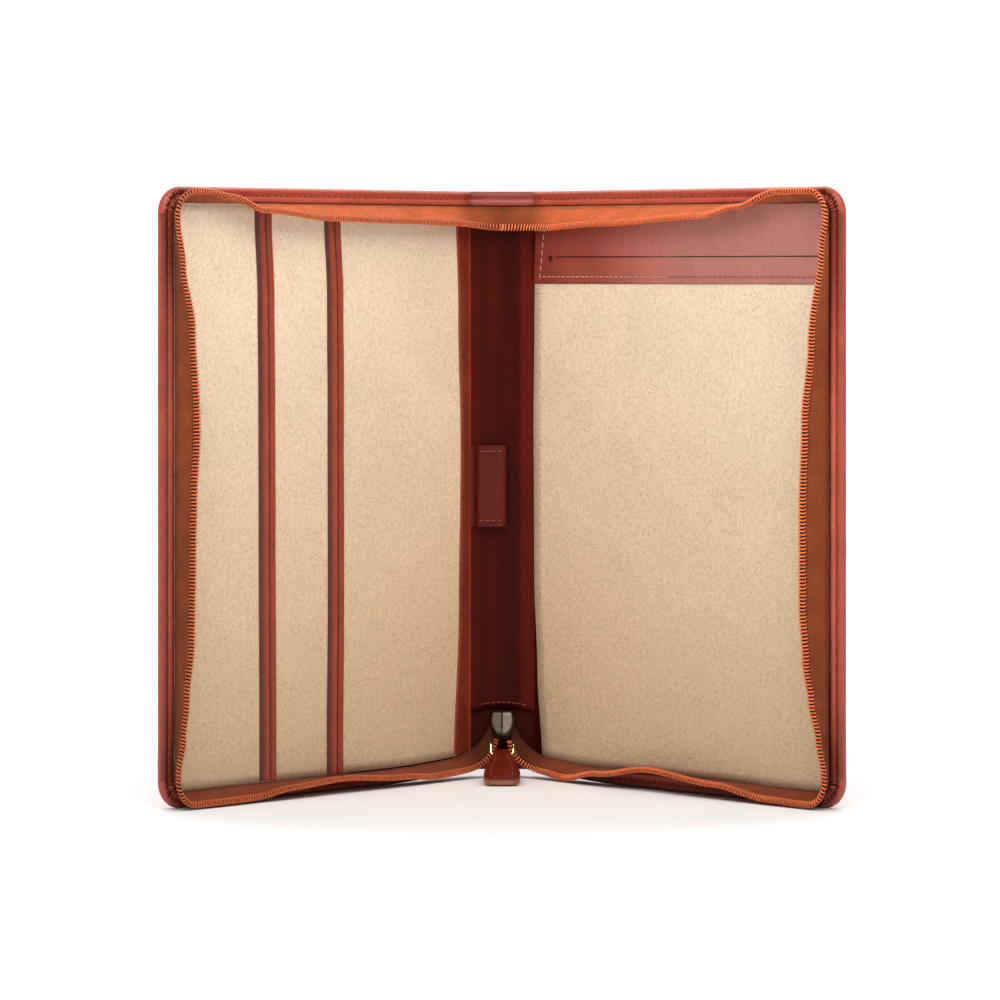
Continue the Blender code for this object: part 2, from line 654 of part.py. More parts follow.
def pull_tab(slope):
    """A strip of leather folded round the ring's bar, over a stiff core.

    In the tab's own frame x runs across, y back to the ring's bar and z off the table."""
    lie = Matrix.Rotation(slope, 4, "X")
    inner = TAB_CORE / 2 + SEAM_GAP
    outer = inner + TAB_LEATHER
    eye = RING_WIRE / 2 + SEAM_GAP
    fold = eye + TAB_LEATHER
    meet = atan2(outer, sqrt(fold ** 2 - outer ** 2)) if fold > outer else pi / 2
    section = [(TAB_LENGTH, -outer), (TAB_LENGTH, outer)]
    section += arc((0.0, 0.0), fold, meet, 2 * pi - meet, 2 * ARC_STEPS)
    leather = extruded("pull_tab_leather", section, 2 * TAB_WIDTH, lie @ SIDEWAYS,
                       TAB, LEATHER_MADE)
    core_start = eye + TAB_LEATHER
    slit = [(0.0, -inner), (TAB_LENGTH - TAB_CORE_INSET + SEAM_GAP, -inner),
            (TAB_LENGTH - TAB_CORE_INSET + SEAM_GAP, inner), (0.0, inner)]
    neck = RING_WIDTH / 2 - RING_CORNER
    flat = lie @ Matrix.Rotation(-pi / 2, 4, "Z")
    shape = tab_outline(0.0, neck, -2 * fold, TAB_LENGTH)
    frame = [(-4 * fold, -2 * TAB_WIDTH), (2 * TAB_LENGTH, -2 * TAB_WIDTH),
             (2 * TAB_LENGTH, 2 * TAB_WIDTH), (-4 * fold, 2 * TAB_WIDTH)]
    keep = extruded("tab_shape", shape, 4 * fold, flat, TAB, None)
    bore = extruded("tab_eye", arc((0.0, 0.0), eye, 0.0, 2 * pi, 2 * ARC_STEPS)[:-1],
                    4 * TAB_WIDTH, lie @ SIDEWAYS, TAB, None)
    inside = extruded("tab_slit", slit, 2 * (TAB_WIDTH / 2 - TAB_CORE_INSET + SEAM_GAP),
                      lie @ SIDEWAYS, TAB, None)
    shaped = leather.modifiers.new("shape", "BOOLEAN")
    shaped.operation = "INTERSECT"
    shaped.object = keep
    cut(leather, bore)
    cut(leather, inside)
    core = tab_outline(TAB_CORE_INSET, neck - TAB_CORE_INSET / 2, core_start, TAB_LENGTH)
    extruded("pull_tab_core", core, TAB_CORE, flat, TAB, BOARD_MADE)


# ---------------------------------------------------------------- the whole case
def centre_over_origin():
    """Stands the case with the middle of its box over the origin."""
    bpy.context.view_layer.update()
    ys = []
    for obj in PARTS.objects:
        if obj.type == "MESH":
            ys += [(obj.matrix_world @ Vector(corner)).y for corner in obj.bound_box]
    ROOT.location.y -= (min(ys) + max(ys)) / 2


clear_scene()
PARTS = new_collection("portfolio_case")
CUTTERS = new_collection("cutters", hidden=True)
LEATHER_MADE = material("leather", LEATHER_COLOUR, 0.35)
LINING_MADE = material("lining_leather", LINING_COLOUR, 0.30)
TRIM_MADE = material("trim_leather", TRIM_COLOUR, 0.30)
SUEDE_MADE = material("suede", SUEDE_COLOUR, 0.95)
ZIP_MADE = material("zip", ZIP_COLOUR, 0.70)
METAL_MADE = material("slider_metal", METAL_COLOUR, 0.35, 1.0)
BRASS_MADE = material("ring_brass", BRASS_COLOUR, 0.25, 1.0)
BOARD_MADE = material("board", BOARD_COLOUR, 0.90)
FOAM_MADE = material("padding", FOAM_COLOUR, 0.90)

ROOT = empty("case", (0.0, 0.0, 0.0))
LEFT, RIGHT = -1, 1
spine()
pen_loop()
zip_across_spine()
for hand, prefix in ((LEFT, "left"), (RIGHT, "right")):
    cover = empty(prefix + "_cover_hinge", (hand * SPINE_WIDTH / 2, 0.0, 0.0),
                  -hand * LEAN, ROOT)
    cover_leather(prefix + "_cover_leather", hand, cover)
    cover_layers(prefix, hand, cover)
    zip_half(prefix, hand, cover)
    hinge_leather(prefix + "_hinge_leather", hand)
    if hand == LEFT:
        pocket("left_middle_pocket", hand, MIDDLE_POCKET_EDGE, 0, cover)
        pocket("left_front_pocket", hand, FRONT_POCKET_EDGE, 1, cover)
        hinge_strip(hand, cover)
    else:
        writing_panel(hand, cover)
        slot_panel(hand, cover)

SLIDER = empty("zip_slider", (0.0, 0.0, 0.0), parent=ROOT)
slider_frame = Matrix.Translation(SLIDER_PLACE) @ Matrix.Rotation(-SLIDER_LEAN, 4, "X")
slider_parts(slider_frame)
hang = ring_place(slider_frame)
RING = empty("pull_ring_pivot", hang, parent=SLIDER)
pull_ring()
bar = Matrix.Rotation(-RING_TILT, 3, "X") @ Vector((0.0, 0.0, -RING_LENGTH))
TAB = empty("pull_tab_pivot", bar, parent=RING)
pull_tab(tab_slope(hang.z + bar.z))
centre_over_origin()
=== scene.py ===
"""The looks of a zip-around leather portfolio case, standing open like a book."""

import json
from math import ceil, cos, pi, radians, sin, sqrt
from random import Random

import bpy
import numpy as np
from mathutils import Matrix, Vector, noise


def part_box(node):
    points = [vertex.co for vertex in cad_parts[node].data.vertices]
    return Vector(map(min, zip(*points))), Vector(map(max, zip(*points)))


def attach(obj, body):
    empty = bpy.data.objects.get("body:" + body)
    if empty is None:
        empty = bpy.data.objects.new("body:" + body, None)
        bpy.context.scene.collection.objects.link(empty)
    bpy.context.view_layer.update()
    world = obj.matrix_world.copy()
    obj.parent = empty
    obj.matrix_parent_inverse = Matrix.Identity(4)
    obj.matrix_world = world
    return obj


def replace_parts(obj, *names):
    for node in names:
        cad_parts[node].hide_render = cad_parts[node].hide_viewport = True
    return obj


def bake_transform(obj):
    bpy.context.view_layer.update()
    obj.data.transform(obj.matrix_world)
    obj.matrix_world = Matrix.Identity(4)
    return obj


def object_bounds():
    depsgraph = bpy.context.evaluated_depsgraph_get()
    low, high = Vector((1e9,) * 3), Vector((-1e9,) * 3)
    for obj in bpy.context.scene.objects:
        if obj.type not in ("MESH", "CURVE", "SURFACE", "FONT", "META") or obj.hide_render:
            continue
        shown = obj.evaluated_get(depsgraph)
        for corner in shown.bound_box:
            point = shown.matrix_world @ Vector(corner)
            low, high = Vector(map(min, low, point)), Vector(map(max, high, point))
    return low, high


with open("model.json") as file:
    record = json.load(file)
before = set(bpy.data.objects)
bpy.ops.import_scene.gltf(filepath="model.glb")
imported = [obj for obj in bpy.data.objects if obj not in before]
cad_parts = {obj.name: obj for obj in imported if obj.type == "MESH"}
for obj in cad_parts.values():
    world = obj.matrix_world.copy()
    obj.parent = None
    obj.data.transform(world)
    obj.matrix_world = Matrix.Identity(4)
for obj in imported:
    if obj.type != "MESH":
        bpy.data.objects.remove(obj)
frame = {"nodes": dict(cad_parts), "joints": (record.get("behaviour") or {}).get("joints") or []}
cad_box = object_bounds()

# -------------------- places from the frame
JOINTS = {joint["name"]: joint for joint in frame["joints"]}
HINGE_X = abs(JOINTS["left_cover_hinge"]["pos_m"][0])
HINGE_Y = JOINTS["left_cover_hinge"]["pos_m"][1]
TAB_PIVOT = Vector(JOINTS["pull_tab_hinge"]["pos_m"])
HEIGHT = cad_box[1][2] - cad_box[0][2]
LEFT, RIGHT = -1, 1
NAMES = {LEFT: "left", RIGHT: "right"}

# -------------------- sizes in metres
MM = 0.001
LEAN = radians(47)  # of a cover, from lying flat open
WIDTH = 0.245  # of a cover, from the hinge line to its fore-edge
CORNER = 0.015
SPINE_LIFT = 0.004  # of the spine's bottom edge above the floor
LIFT_LENGTH = 0.082  # over which a cover's bottom edge comes down from it
BEND = 0.0018  # half the length of leather that turns at a hinge line
RUN = HINGE_X + WIDTH  # from the spine's middle to the fore-edge
OUTSIDE = 0.0049  # how far out the outer face lies
STITCH_PITCH = 0.0048
STITCH_SHARE = 0.70  # of the pitch that shows as thread

# How far pieces are set in from the turned edge
BORDER_SEAM = 0.0049
LINING_INSET = 0.0078
SUEDE_INSET = 0.0093
FLAP_INSET = 0.0094
PANEL_INSET = 0.0104
BACK_INSET = 0.0106

# Thicknesses
SUEDE_THICK = 0.6 * MM
LINING_THICK = 0.7 * MM
LOOP_THICK = 1.1 * MM
TAPE_THICK = 0.55 * MM
PLATE_THICK = 1.0 * MM

# The zip's coil: its filament and the loops that it makes
COIL_PITCH = 0.00195
COIL_WIRE = 0.00047
COIL_WIDE, COIL_DEEP = 0.0019, 0.00125
CORE_PLACE = 0.0012  # of its core cord, beyond the tape's edge
CORE_RADIUS = 0.00115

SCENE = bpy.context.scene
RNG = Random(7)
FORWARD = Vector((0, -1, 0))


def lift(s):
    """How high a cover's bottom edge stands at s from the hinge line."""
    share = min(1.0, max(0.0, 1.0 - s / LIFT_LENGTH))
    return SPINE_LIFT * share * share


def on_cover(side, s, out, z):
    """A point of a cover: s from its hinge line, out of the case, z up."""
    return Vector((side * (HINGE_X + s * cos(LEAN) + out * sin(LEAN)),
                   HINGE_Y - s * sin(LEAN) + out * cos(LEAN), z))


def bumpy(x, y, z):
    """Soft noise, from -1 to 1."""
    return noise.noise(Vector((x, y, z)))


def smooth(share):
    share = min(max(share, 0.0), 1.0)
    return share * share * (3 - 2 * share)


def keyed(keys, at):
    """A smooth value between given (place, value) keys."""
    if at <= keys[0][0]:
        return keys[0][1]
    for (a, low), (b, high) in zip(keys, keys[1:]):
        if at <= b:
            return low + (high - low) * smooth((at - a) / (b - a))
    return keys[-1][1]


# -------------------- meshes
def mesh_object(name, points, faces, made_of, slot=None, uvs=None, shades=None):
    """shades is a darker (under 1) or lighter tone for each point."""
    mesh = bpy.data.meshes.new(name)
    mesh.from_pydata([tuple(p) for p in points], [], faces)
    mesh.update()
    tone = mesh.attributes.new("shade", "FLOAT", "POINT")
    tone.data.foreach_set("value", np.array(shades if shades else [1.0] * len(points), np.float32))
    if uvs is not None:
        layer = mesh.uv_layers.new(name="along")
        flat = np.array([uvs[loop.vertex_index] for loop in mesh.loops], np.float32)
        layer.data.foreach_set("uv", flat.ravel())
    mesh.materials.append(made_of)
    mesh.shade_smooth()
    obj = bpy.data.objects.new(name, mesh)
    SCENE.collection.objects.link(obj)
    return obj


def grid_faces(rows, columns, closed=False, start=0):
    faces = []
    last = columns if closed else columns - 1
    for i in range(rows - 1):
        for j in range(last):
            a = start + i * columns + j
            b = start + i * columns + (j + 1) % columns
            faces.append((a, b, b + columns, a + columns))
    return faces


def grid(name, rows, made_of, slot=None, uvs=None, flip=False, shades=None):
    """A surface through rows of points, all rows of one length."""
    faces = grid_faces(len(rows), len(rows[0]))
    if flip:
        faces = [face[::-1] for face in faces]
    points = [p for row in rows for p in row]
    flat = [uv for row in uvs for uv in row] if uvs else None
    tones = [shade for row in shades for shade in row] if shades else None
    return mesh_object(name, points, faces, made_of, slot, flat, tones)


def thicken(obj, thickness, offset=-1.0):
    """offset -1 adds the thickness behind the surface, 1 before it and 0 on both sides."""
    solid = obj.modifiers.new("thickness", "SOLIDIFY")
    solid.thickness = thickness
    solid.offset = offset
    return obj


def circle(sides):
    """(cosine, sine) of each of a circle's points."""
    return [(cos(2 * pi * k / sides), sin(2 * pi * k / sides)) for k in range(sides)]


def frames_along(points, closed=False):
    """Two cross directions at each point, turned as little as possible."""
    count = len(points)
    tangents = []
    for i in range(count):
        before = points[i - 1] if i or closed else points[0]
        after = points[(i + 1) % count] if i < count - 1 or closed else points[-1]
        tangents.append((after - before).normalized())
    first = Vector((0, 0, 1)) if abs(tangents[0].z) < 0.9 else Vector((1, 0, 0))
    across = (first - first.dot(tangents[0]) * tangents[0]).normalized()
    found = []
    for tangent in tangents:
        across = (across - across.dot(tangent) * tangent).normalized()
        found.append((across, tangent.cross(across)))
    return found


def tube_data(points, radius, sides, closed=False, start=0):
    """Points and faces of a round tube; radius is a number or one for each point."""
    radii = radius if isinstance(radius, list) else [radius] * len(points)
    found = []
    for (a, b), p, r in zip(frames_along(points, closed), points, radii):
        found += [p + r * (cosine * a + sine * b) for cosine, sine in circle(sides)]
    faces = grid_faces(len(points), sides, closed=True, start=start)
    last = start + (len(points) - 1) * sides
    if closed:
        faces += [(last + k, last + (k + 1) % sides, start + (k + 1) % sides, start + k)
                  for k in range(sides)]
    else:
        faces.append(tuple(start + k for k in reversed(range(sides))))
        faces.append(tuple(last + k for k in range(sides)))
    return found, faces


def tube(name, points, radius, sides, made_of, slot):
    return mesh_object(name, *tube_data(points, radius, sides), made_of, slot)


def lengths_to(points):
    """How far along a polyline each of its points is."""
    lengths = [0.0]
    for a, b in zip(points, points[1:]):
        lengths.append(lengths[-1] + (b - a).length)
    return lengths


def walk(lengths, places):
    """(index, share of the way to the next point) for places that go up along a polyline."""
    k = 0
    for at in places:
        while k < len(lengths) - 2 and lengths[k + 1] < at:
            k += 1
        yield k, (at - lengths[k]) / max(lengths[k + 1] - lengths[k], 1e-9)


def along(points, pitch, offset):
    """(point, tangent) every pitch along a polyline of vectors."""
    lengths = lengths_to(points)
    places = [offset + i * pitch for i in range(int((lengths[-1] - offset) / pitch) + 1)]
    return [(points[k].lerp(points[k + 1], share), (points[k + 1] - points[k]).normalized())
            for k, share in walk(lengths, places)]


def stitches(name, line, normal, made_of, radius, pitch=STITCH_PITCH, proud=0.25 * MM,
             slot="trim_leather"):
    """A row of thread, each stitch a short arched capsule; normal is the way off the leather."""
    points, faces = [], []
    half = pitch * STITCH_SHARE / 2
    for middle, tangent in along(line, pitch, pitch / 2):
        slant = RNG.uniform(-0.05, 0.05) * half
        side_way = tangent.cross(normal)
        spots = [middle + tangent * t * half + normal * (proud * (1 - 1.9 * t * t))
                 + side_way * slant * t for t in (-1.0, -0.78, -0.35, 0.35, 0.78, 1.0)]
        radii = [radius * r for r in (0.45, 0.85, 1.0, 1.0, 0.85, 0.45)]
        more, more_faces = tube_data(spots, radii, 6, start=len(points))
        points += more
        faces += more_faces
    return mesh_object(name, points, faces, made_of, slot)


def pits(name, line, normal, made_of, radius, pitch=STITCH_PITCH, slot="trim_leather"):
    """The needle holes between stitches: small dimples drawn as shallow cups, dark with painted
    shade.
    """
    points, faces = [], []
    sides = 8
    for middle, tangent in along(line, pitch, 0.0):
        cross = tangent.cross(normal)
        start = len(points)
        for ring, depth in ((1.0, 0.07 * MM), (0.55, 0.03 * MM)):
            for cosine, sine in circle(sides):
                off = 1.35 * cosine * tangent + sine * cross
                points.append(middle + radius * ring * off + normal * depth)
        points.append(middle + normal * 0.02 * MM)
        for k in range(sides):
            j = (k + 1) % sides
            faces.append((start + k, start + j, start + sides + j, start + sides + k))
            faces.append((start + sides + k, start + sides + j, start + 2 * sides))
    return mesh_object(name, points, faces, made_of, slot)


# -------------------- materials
class Nodes:
    """A small helper that adds shader nodes and joins them."""

    def __init__(self, name, roughness, metallic=0.0):
        self.material = bpy.data.materials.new(name)
        self.material.use_nodes = True
        self.tree = self.material.node_tree
        self.shader = self.tree.nodes["Principled BSDF"]
        self.shader.inputs["Roughness"].default_value = roughness
        self.shader.inputs["Metallic"].default_value = metallic
        self.where = self.add("ShaderNodeTexCoord").outputs["Object"]

    def add(self, kind, inputs=None, **settings):
        """inputs gives a number, a vector or another node's output to a socket's name or place."""
        node = self.tree.nodes.new(kind)
        for key, value in settings.items():
            setattr(node, key, value)
        for key, value in (inputs or {}).items():
            if isinstance(value, bpy.types.NodeSocket):
                self.link(value, node.inputs[key])
            else:
                node.inputs[key].default_value = value
        return node

    def link(self, source, target):
        self.tree.links.new(source, target)

    def axis(self, letter):
        """One co-ordinate of the point, in metres."""
        return self.add("ShaderNodeSeparateXYZ", {"Vector": self.where}).outputs[letter]

    def span(self, source, ends, values):
        """Eases from one of two values to the other as source goes between its two ends."""
        sockets = dict(zip(("From Min", "From Max", "To Min", "To Max"), (*ends, *values)))
        return self.add("ShaderNodeMapRange", {"Value": source, **sockets},
                        interpolation_type="SMOOTHSTEP").outputs["Result"]

    def noise(self, scale, detail, rough=0.55, where=None):
        return self.add("ShaderNodeTexNoise", {
            "Scale": scale, "Detail": detail, "Roughness": rough,
            "Vector": where or self.where}).outputs["Fac"]

    def cells(self, scale, feature="F1"):
        return self.add("ShaderNodeTexVoronoi", {"Scale": scale, "Vector": self.where},
                        feature=feature).outputs["Distance"]

    def mapped(self, vector, setting, value):
        """vector with its Scale or Rotation set to value."""
        return self.add("ShaderNodeMapping", {"Vector": vector, setting: value}).outputs["Vector"]

    def ramp(self, source, stops):
        node = self.add("ShaderNodeValToRGB", {"Fac": source})
        ramp = node.color_ramp
        while len(ramp.elements) < len(stops):
            ramp.elements.new(0.5)
        for element, (place, colour) in zip(ramp.elements, stops):
            element.position = place
            element.color = (*colour, 1.0)
        return node.outputs["Color"]

    def mix(self, share, a, b, kind="MIX"):
        inputs = {key: (*value, 1.0) if isinstance(value, tuple) else value
                  for key, value in (("Factor", share), (6, a), (7, b))}
        return self.add("ShaderNodeMix", inputs, data_type="RGBA", blend_type=kind).outputs[2]

    def colour(self, source, shaded=True):
        """shaded: times the tone that a mesh has at each point."""
        if shaded:
            tone = self.add("ShaderNodeAttribute", attribute_name="shade").outputs["Fac"]
            source = self.add("ShaderNodeVectorMath", {0: source, "Scale": tone},
                              operation="SCALE").outputs["Vector"]
        self.link(source, self.shader.inputs["Base Color"])

    def roughness(self, source, low, high):
        node = self.add("ShaderNodeMapRange", {"Value": source, "To Min": low, "To Max": high})
        self.link(node.outputs["Result"], self.shader.inputs["Roughness"])

    def bump(self, heights):
        """heights: (source, strength, distance) from the broadest to the finest."""
        below = {}
        for source, strength, distance in heights:
            node = self.add("ShaderNodeBump", {
                "Strength": strength, "Distance": distance, "Height": source, **below})
            below = {"Normal": node.outputs["Normal"]}
        self.link(below["Normal"], self.shader.inputs["Normal"])

    def set(self, **values):
        for key, value in values.items():
            self.shader.inputs[key.replace("_", " ")].default_value = value
        return self.material


def tinted(colour, factor):
    return tuple(c * factor for c in colour)


def leather(name, colour, roughness=0.34, grain=1.0, specular=0.5, coat=0.15, sheen_colour=None):
    """Waxed leather: fine pebbled grain and soft blotches."""
    made = Nodes(name, roughness)
    blotch = made.noise(38, 3.0)
    fine = made.noise(420, 3.0)
    tone = made.ramp(blotch, [(0.30, tinted(colour, 0.88)), (0.70, tinted(colour, 1.10))])
    speck = made.ramp(fine, [(0.35, (0.80, 0.78, 0.78)), (0.65, (1.0, 1.0, 1.0))])
    if sheen_colour:  # painted sheen: paler towards the fore-edge, a reflection of the suede across the case
        tone = made.mix(made.span(made.axis("X"), (0.030, 0.120), (0.0, 0.85)), tone, sheen_colour)
    made.colour(made.mix(0.55, tone, speck, "MULTIPLY"))
    pebbles = made.cells(1150)
    creases = made.cells(520, "SMOOTH_F1")
    made.roughness(blotch, roughness * 0.82, roughness * 1.22)
    made.bump([(made.noise(55, 2.0), 0.25 * grain, 0.0012),
               (creases, 0.22 * grain, 0.0004), (pebbles, 0.30 * grain, 0.0002)])
    return made.set(Specular_IOR_Level=specular, Coat_Weight=coat, Coat_Roughness=0.28)


def suede(name, colour, low_shade):
    """Split suede: short nap, mottled tone and scattered pores, and a warmer painted-shade tint low
    down.
    """
    made = Nodes(name, 0.95)
    cloud = made.noise(24, 4.0)
    mottle = made.noise(480, 5.0, 0.7)
    nap = made.noise(1500, 2.0)
    tone = made.ramp(cloud, [(0.30, tinted(colour, 0.97)), (0.70, tinted(colour, 1.06))])
    # painted shade: the tone turns warmer towards the bottom, where less light falls
    tone = made.mix(made.span(made.axis("Z"), (0.03, 0.27), (1.0, 0.0)), tone, low_shade)
    flecks = made.ramp(mottle, [(0.34, (0.80, 0.76, 0.71)), (0.58, (1.0, 1.0, 1.0))])
    pores = made.ramp(made.cells(430), [(0.11, (0.70, 0.60, 0.50)), (0.27, (1.0, 1.0, 1.0))])
    grain = made.ramp(nap, [(0.30, (0.90, 0.88, 0.86)), (0.70, (1.0, 1.0, 1.0))])
    mixed = made.mix(0.8, tone, flecks, "MULTIPLY")
    mixed = made.mix(made.ramp(made.noise(60, 2.0), [(0.36, (0, 0, 0)), (0.60, (1, 1, 1))]),
                     mixed, made.mix(1.0, mixed, pores, "MULTIPLY"))
    made.colour(made.mix(0.9, mixed, grain, "MULTIPLY"))
    made.bump([(mottle, 0.55, 0.0006), (nap, 0.5, 0.0003)])
    return made.set(Sheen_Weight=0.12, Sheen_Roughness=0.6, Specular_IOR_Level=0.08)


def woven(name, colour):
    """Zip tape: a fine herringbone of threads that run across and along it."""
    made = Nodes(name, 0.72)
    uv = made.add("ShaderNodeUVMap", uv_map="along").outputs["UV"]
    ribs = []
    for scale, turn in ((2000, 0.80), (2000, -0.80), (3600, 0.0)):
        wave = made.add("ShaderNodeTexWave", {
            "Scale": scale / 6.28, "Distortion": 0.6,
            "Vector": made.mapped(uv, "Rotation", (0, 0, turn))})
        ribs.append(wave.outputs["Fac"])
    weave = made.add("ShaderNodeMath", {0: ribs[0], 1: ribs[1]},
                     operation="MULTIPLY").outputs["Value"]
    tone = made.ramp(made.noise(90, 3.0),
                     [(0.30, tinted(colour, 0.84)), (0.70, tinted(colour, 1.12))])
    shade = made.ramp(weave, [(0.0, (0.42, 0.36, 0.34)), (0.45, (1.0, 1.0, 1.0))])
    made.colour(made.mix(0.9, tone, shade, "MULTIPLY"))
    made.bump([(weave, 0.9, 0.0005), (ribs[2], 0.3, 0.0002)])
    return made.set(Sheen_Weight=0.06, Sheen_Roughness=0.5, Specular_IOR_Level=0.12)


def thread_like(name, colour, roughness=0.5, twist=900):
    made = Nodes(name, roughness)
    fibre = made.noise(twist, 3.0)
    made.colour(made.ramp(fibre, [(0.25, tinted(colour, 0.72)), (0.75, tinted(colour, 1.18))]))
    made.bump([(fibre, 0.4, 0.0002)])
    return made.set(Specular_IOR_Level=0.22)


def metal(name, colour, roughness, shaded=False):
    """Worn cast metal, brushed down its length."""
    made = Nodes(name, roughness, 1.0)
    brushed = made.noise(30, 4.0, where=made.mapped(made.where, "Scale", (160, 160, 20)))
    cloud = made.noise(260, 3.0)
    tone = made.ramp(cloud, [(0.3, tinted(colour, 0.80)), (0.7, tinted(colour, 1.1))])
    made.colour(tone, shaded)
    made.roughness(brushed, roughness * 0.7, roughness * 1.35)
    made.bump([(cloud, 0.10, 0.0003), (brushed, 0.10, 0.0001)])
    return made.material


OUTER = leather("outer_leather", (0.400, 0.066, 0.036), 0.36, specular=0.32, coat=0.05)
LINING = leather("lining_leather", (0.044, 0.0036, 0.0018), 0.34, grain=0.6, specular=0.05,
                 coat=0.0)
# the panel leather carries a painted sheen, paler towards the fore-edge
PANEL = leather("panel_leather", (0.400, 0.068, 0.042), 0.32, grain=0.8, specular=0.25, coat=0.04,
                sheen_colour=(0.370, 0.165, 0.138))
LOOP = leather("loop_leather", (0.092, 0.0080, 0.0042), 0.34, grain=0.8, specular=0.14, coat=0.02)
TRIMS = leather("trim_leather", (0.310, 0.044, 0.018), 0.36, grain=0.8, specular=0.35, coat=0.05)
TAB = leather("tab_leather", (0.150, 0.014, 0.005), 0.30, grain=0.6, specular=0.3, coat=0.10)
RAW_EDGE = leather("raw_edge", (0.36, 0.135, 0.060), 0.6, grain=1.4, coat=0.0)
# the second colour is the warmer painted-shade tint for low down
SUEDE = suede("suede", (0.800, 0.635, 0.465), (0.840, 0.610, 0.395))
TAPE = woven("zip_tape", (0.620, 0.135, 0.036))
COIL = thread_like("zip_coil", (0.560, 0.125, 0.042), 0.42, 500)
CORE = thread_like("zip_core", (0.060, 0.012, 0.005), 0.8)
THREAD_RED = thread_like("thread_red", (0.340, 0.095, 0.060), 0.5)
THREAD_PALE = thread_like("thread_pale", (0.640, 0.330, 0.220), 0.45)
THREAD_DARK = thread_like("thread_dark", (0.090, 0.020, 0.012), 0.6)
PIT = thread_like("needle_hole", (0.030, 0.006, 0.004), 0.8)
# painted shade: both nickels are darker than bare nickel, for a slider that sits in shadow; the
# plates' nickel is darker still and takes painted tones
NICKEL = metal("nickel", (0.16, 0.125, 0.092), 0.38)
SHADED_NICKEL = metal("shaded_nickel", (0.095, 0.074, 0.055), 0.36, shaded=True)
BRASS = metal("brass", (0.78, 0.58, 0.30), 0.26)

# -------------------- the case's own shape
def wrap(side, u, out, z):
    """A point of the case: u from the spine's middle, measured round the bend onto a cover."""
    if u <= HINGE_X - BEND:
        return Vector((side * u, HINGE_Y + out, z))
    if u >= HINGE_X + BEND:
        return on_cover(side, u - HINGE_X, out, z)
    radius = BEND / sin(LEAN / 2) * cos(LEAN / 2)
    turn = LEAN * (u - HINGE_X + BEND) / (2 * BEND)
    reach = radius + out
    return Vector((side * (HINGE_X - BEND + reach * sin(turn)),
                   HINGE_Y - radius + reach * cos(turn), z))


def bend_with_cover(obj):
    """Bakes obj's transform into its mesh."""
    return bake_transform(obj)


def edge_stations():
    """(u, z, inward u, inward z, run, share) round a half's edge, from the spine's top middle
    out to the fore-edge and back to the spine's bottom middle."""
    found = []
    step, corner_step = 0.0012, 0.0006
    straight = RUN - CORNER
    count = ceil(straight / step)
    for i in range(count):
        u = straight * i / count
        found.append((u, HEIGHT, 0.0, -1.0, "top", u - HINGE_X))
    turns = ceil(CORNER * pi / 2 / corner_step)
    for i in range(turns):
        a = pi / 2 * (1 - i / turns)
        found.append((straight + CORNER * cos(a), HEIGHT - CORNER + CORNER * sin(a),
                      -cos(a), -sin(a), "top_corner", i / turns))
    count = ceil((HEIGHT - 2 * CORNER) / step)
    for i in range(count):
        z = HEIGHT - CORNER - (HEIGHT - 2 * CORNER) * i / count
        found.append((RUN, z, -1.0, 0.0, "fore", z))
    for i in range(turns):
        a = -pi / 2 * i / turns
        found.append((straight + CORNER * cos(a), CORNER + CORNER * sin(a),
                      -cos(a), -sin(a), "low_corner", i / turns))
    count = ceil(straight / step)
    for i in range(count + 1):
        u = straight * (1 - i / count)
        found.append((u, lift(u - HINGE_X) if u > HINGE_X else SPINE_LIFT, 0.0, 1.0,
                      "low", u - HINGE_X))
    return found


STATIONS = edge_stations()
# (inset from the edge, out) of the leather that wraps the edge, in millimetres
RIM = [(12, 4.80), (10, 4.88), (7.4, 4.92), (6.2, 4.92), (5.4, 4.86), (4.9, 4.70), (4.4, 4.84),
       (3.4, 4.84), (2.4, 4.62), (1.5, 4.20), (0.75, 3.55), (0.25, 2.70), (0.0, 1.75),
       (0.05, 0.80), (0.35, -0.10), (0.90, -0.85), (1.60, -1.40), (2.30, -1.62), (2.90, -1.50),
       (3.50, -1.10), (4.20, -0.72), (4.70, -0.48), (4.90, -0.38), (5.10, -0.50), (5.70, -0.86),
       (6.50, -1.12), (7.30, -1.24), (8.00, -1.22), (8.50, -1.00), (8.60, -0.45)]


def corner_fold(side, share):
    """0 in a pleat of a corner's gathered leather, 1 between two."""
    return abs(sin(share * pi * 7.5 + 1.6 * bumpy(share * 7, side, 0)))


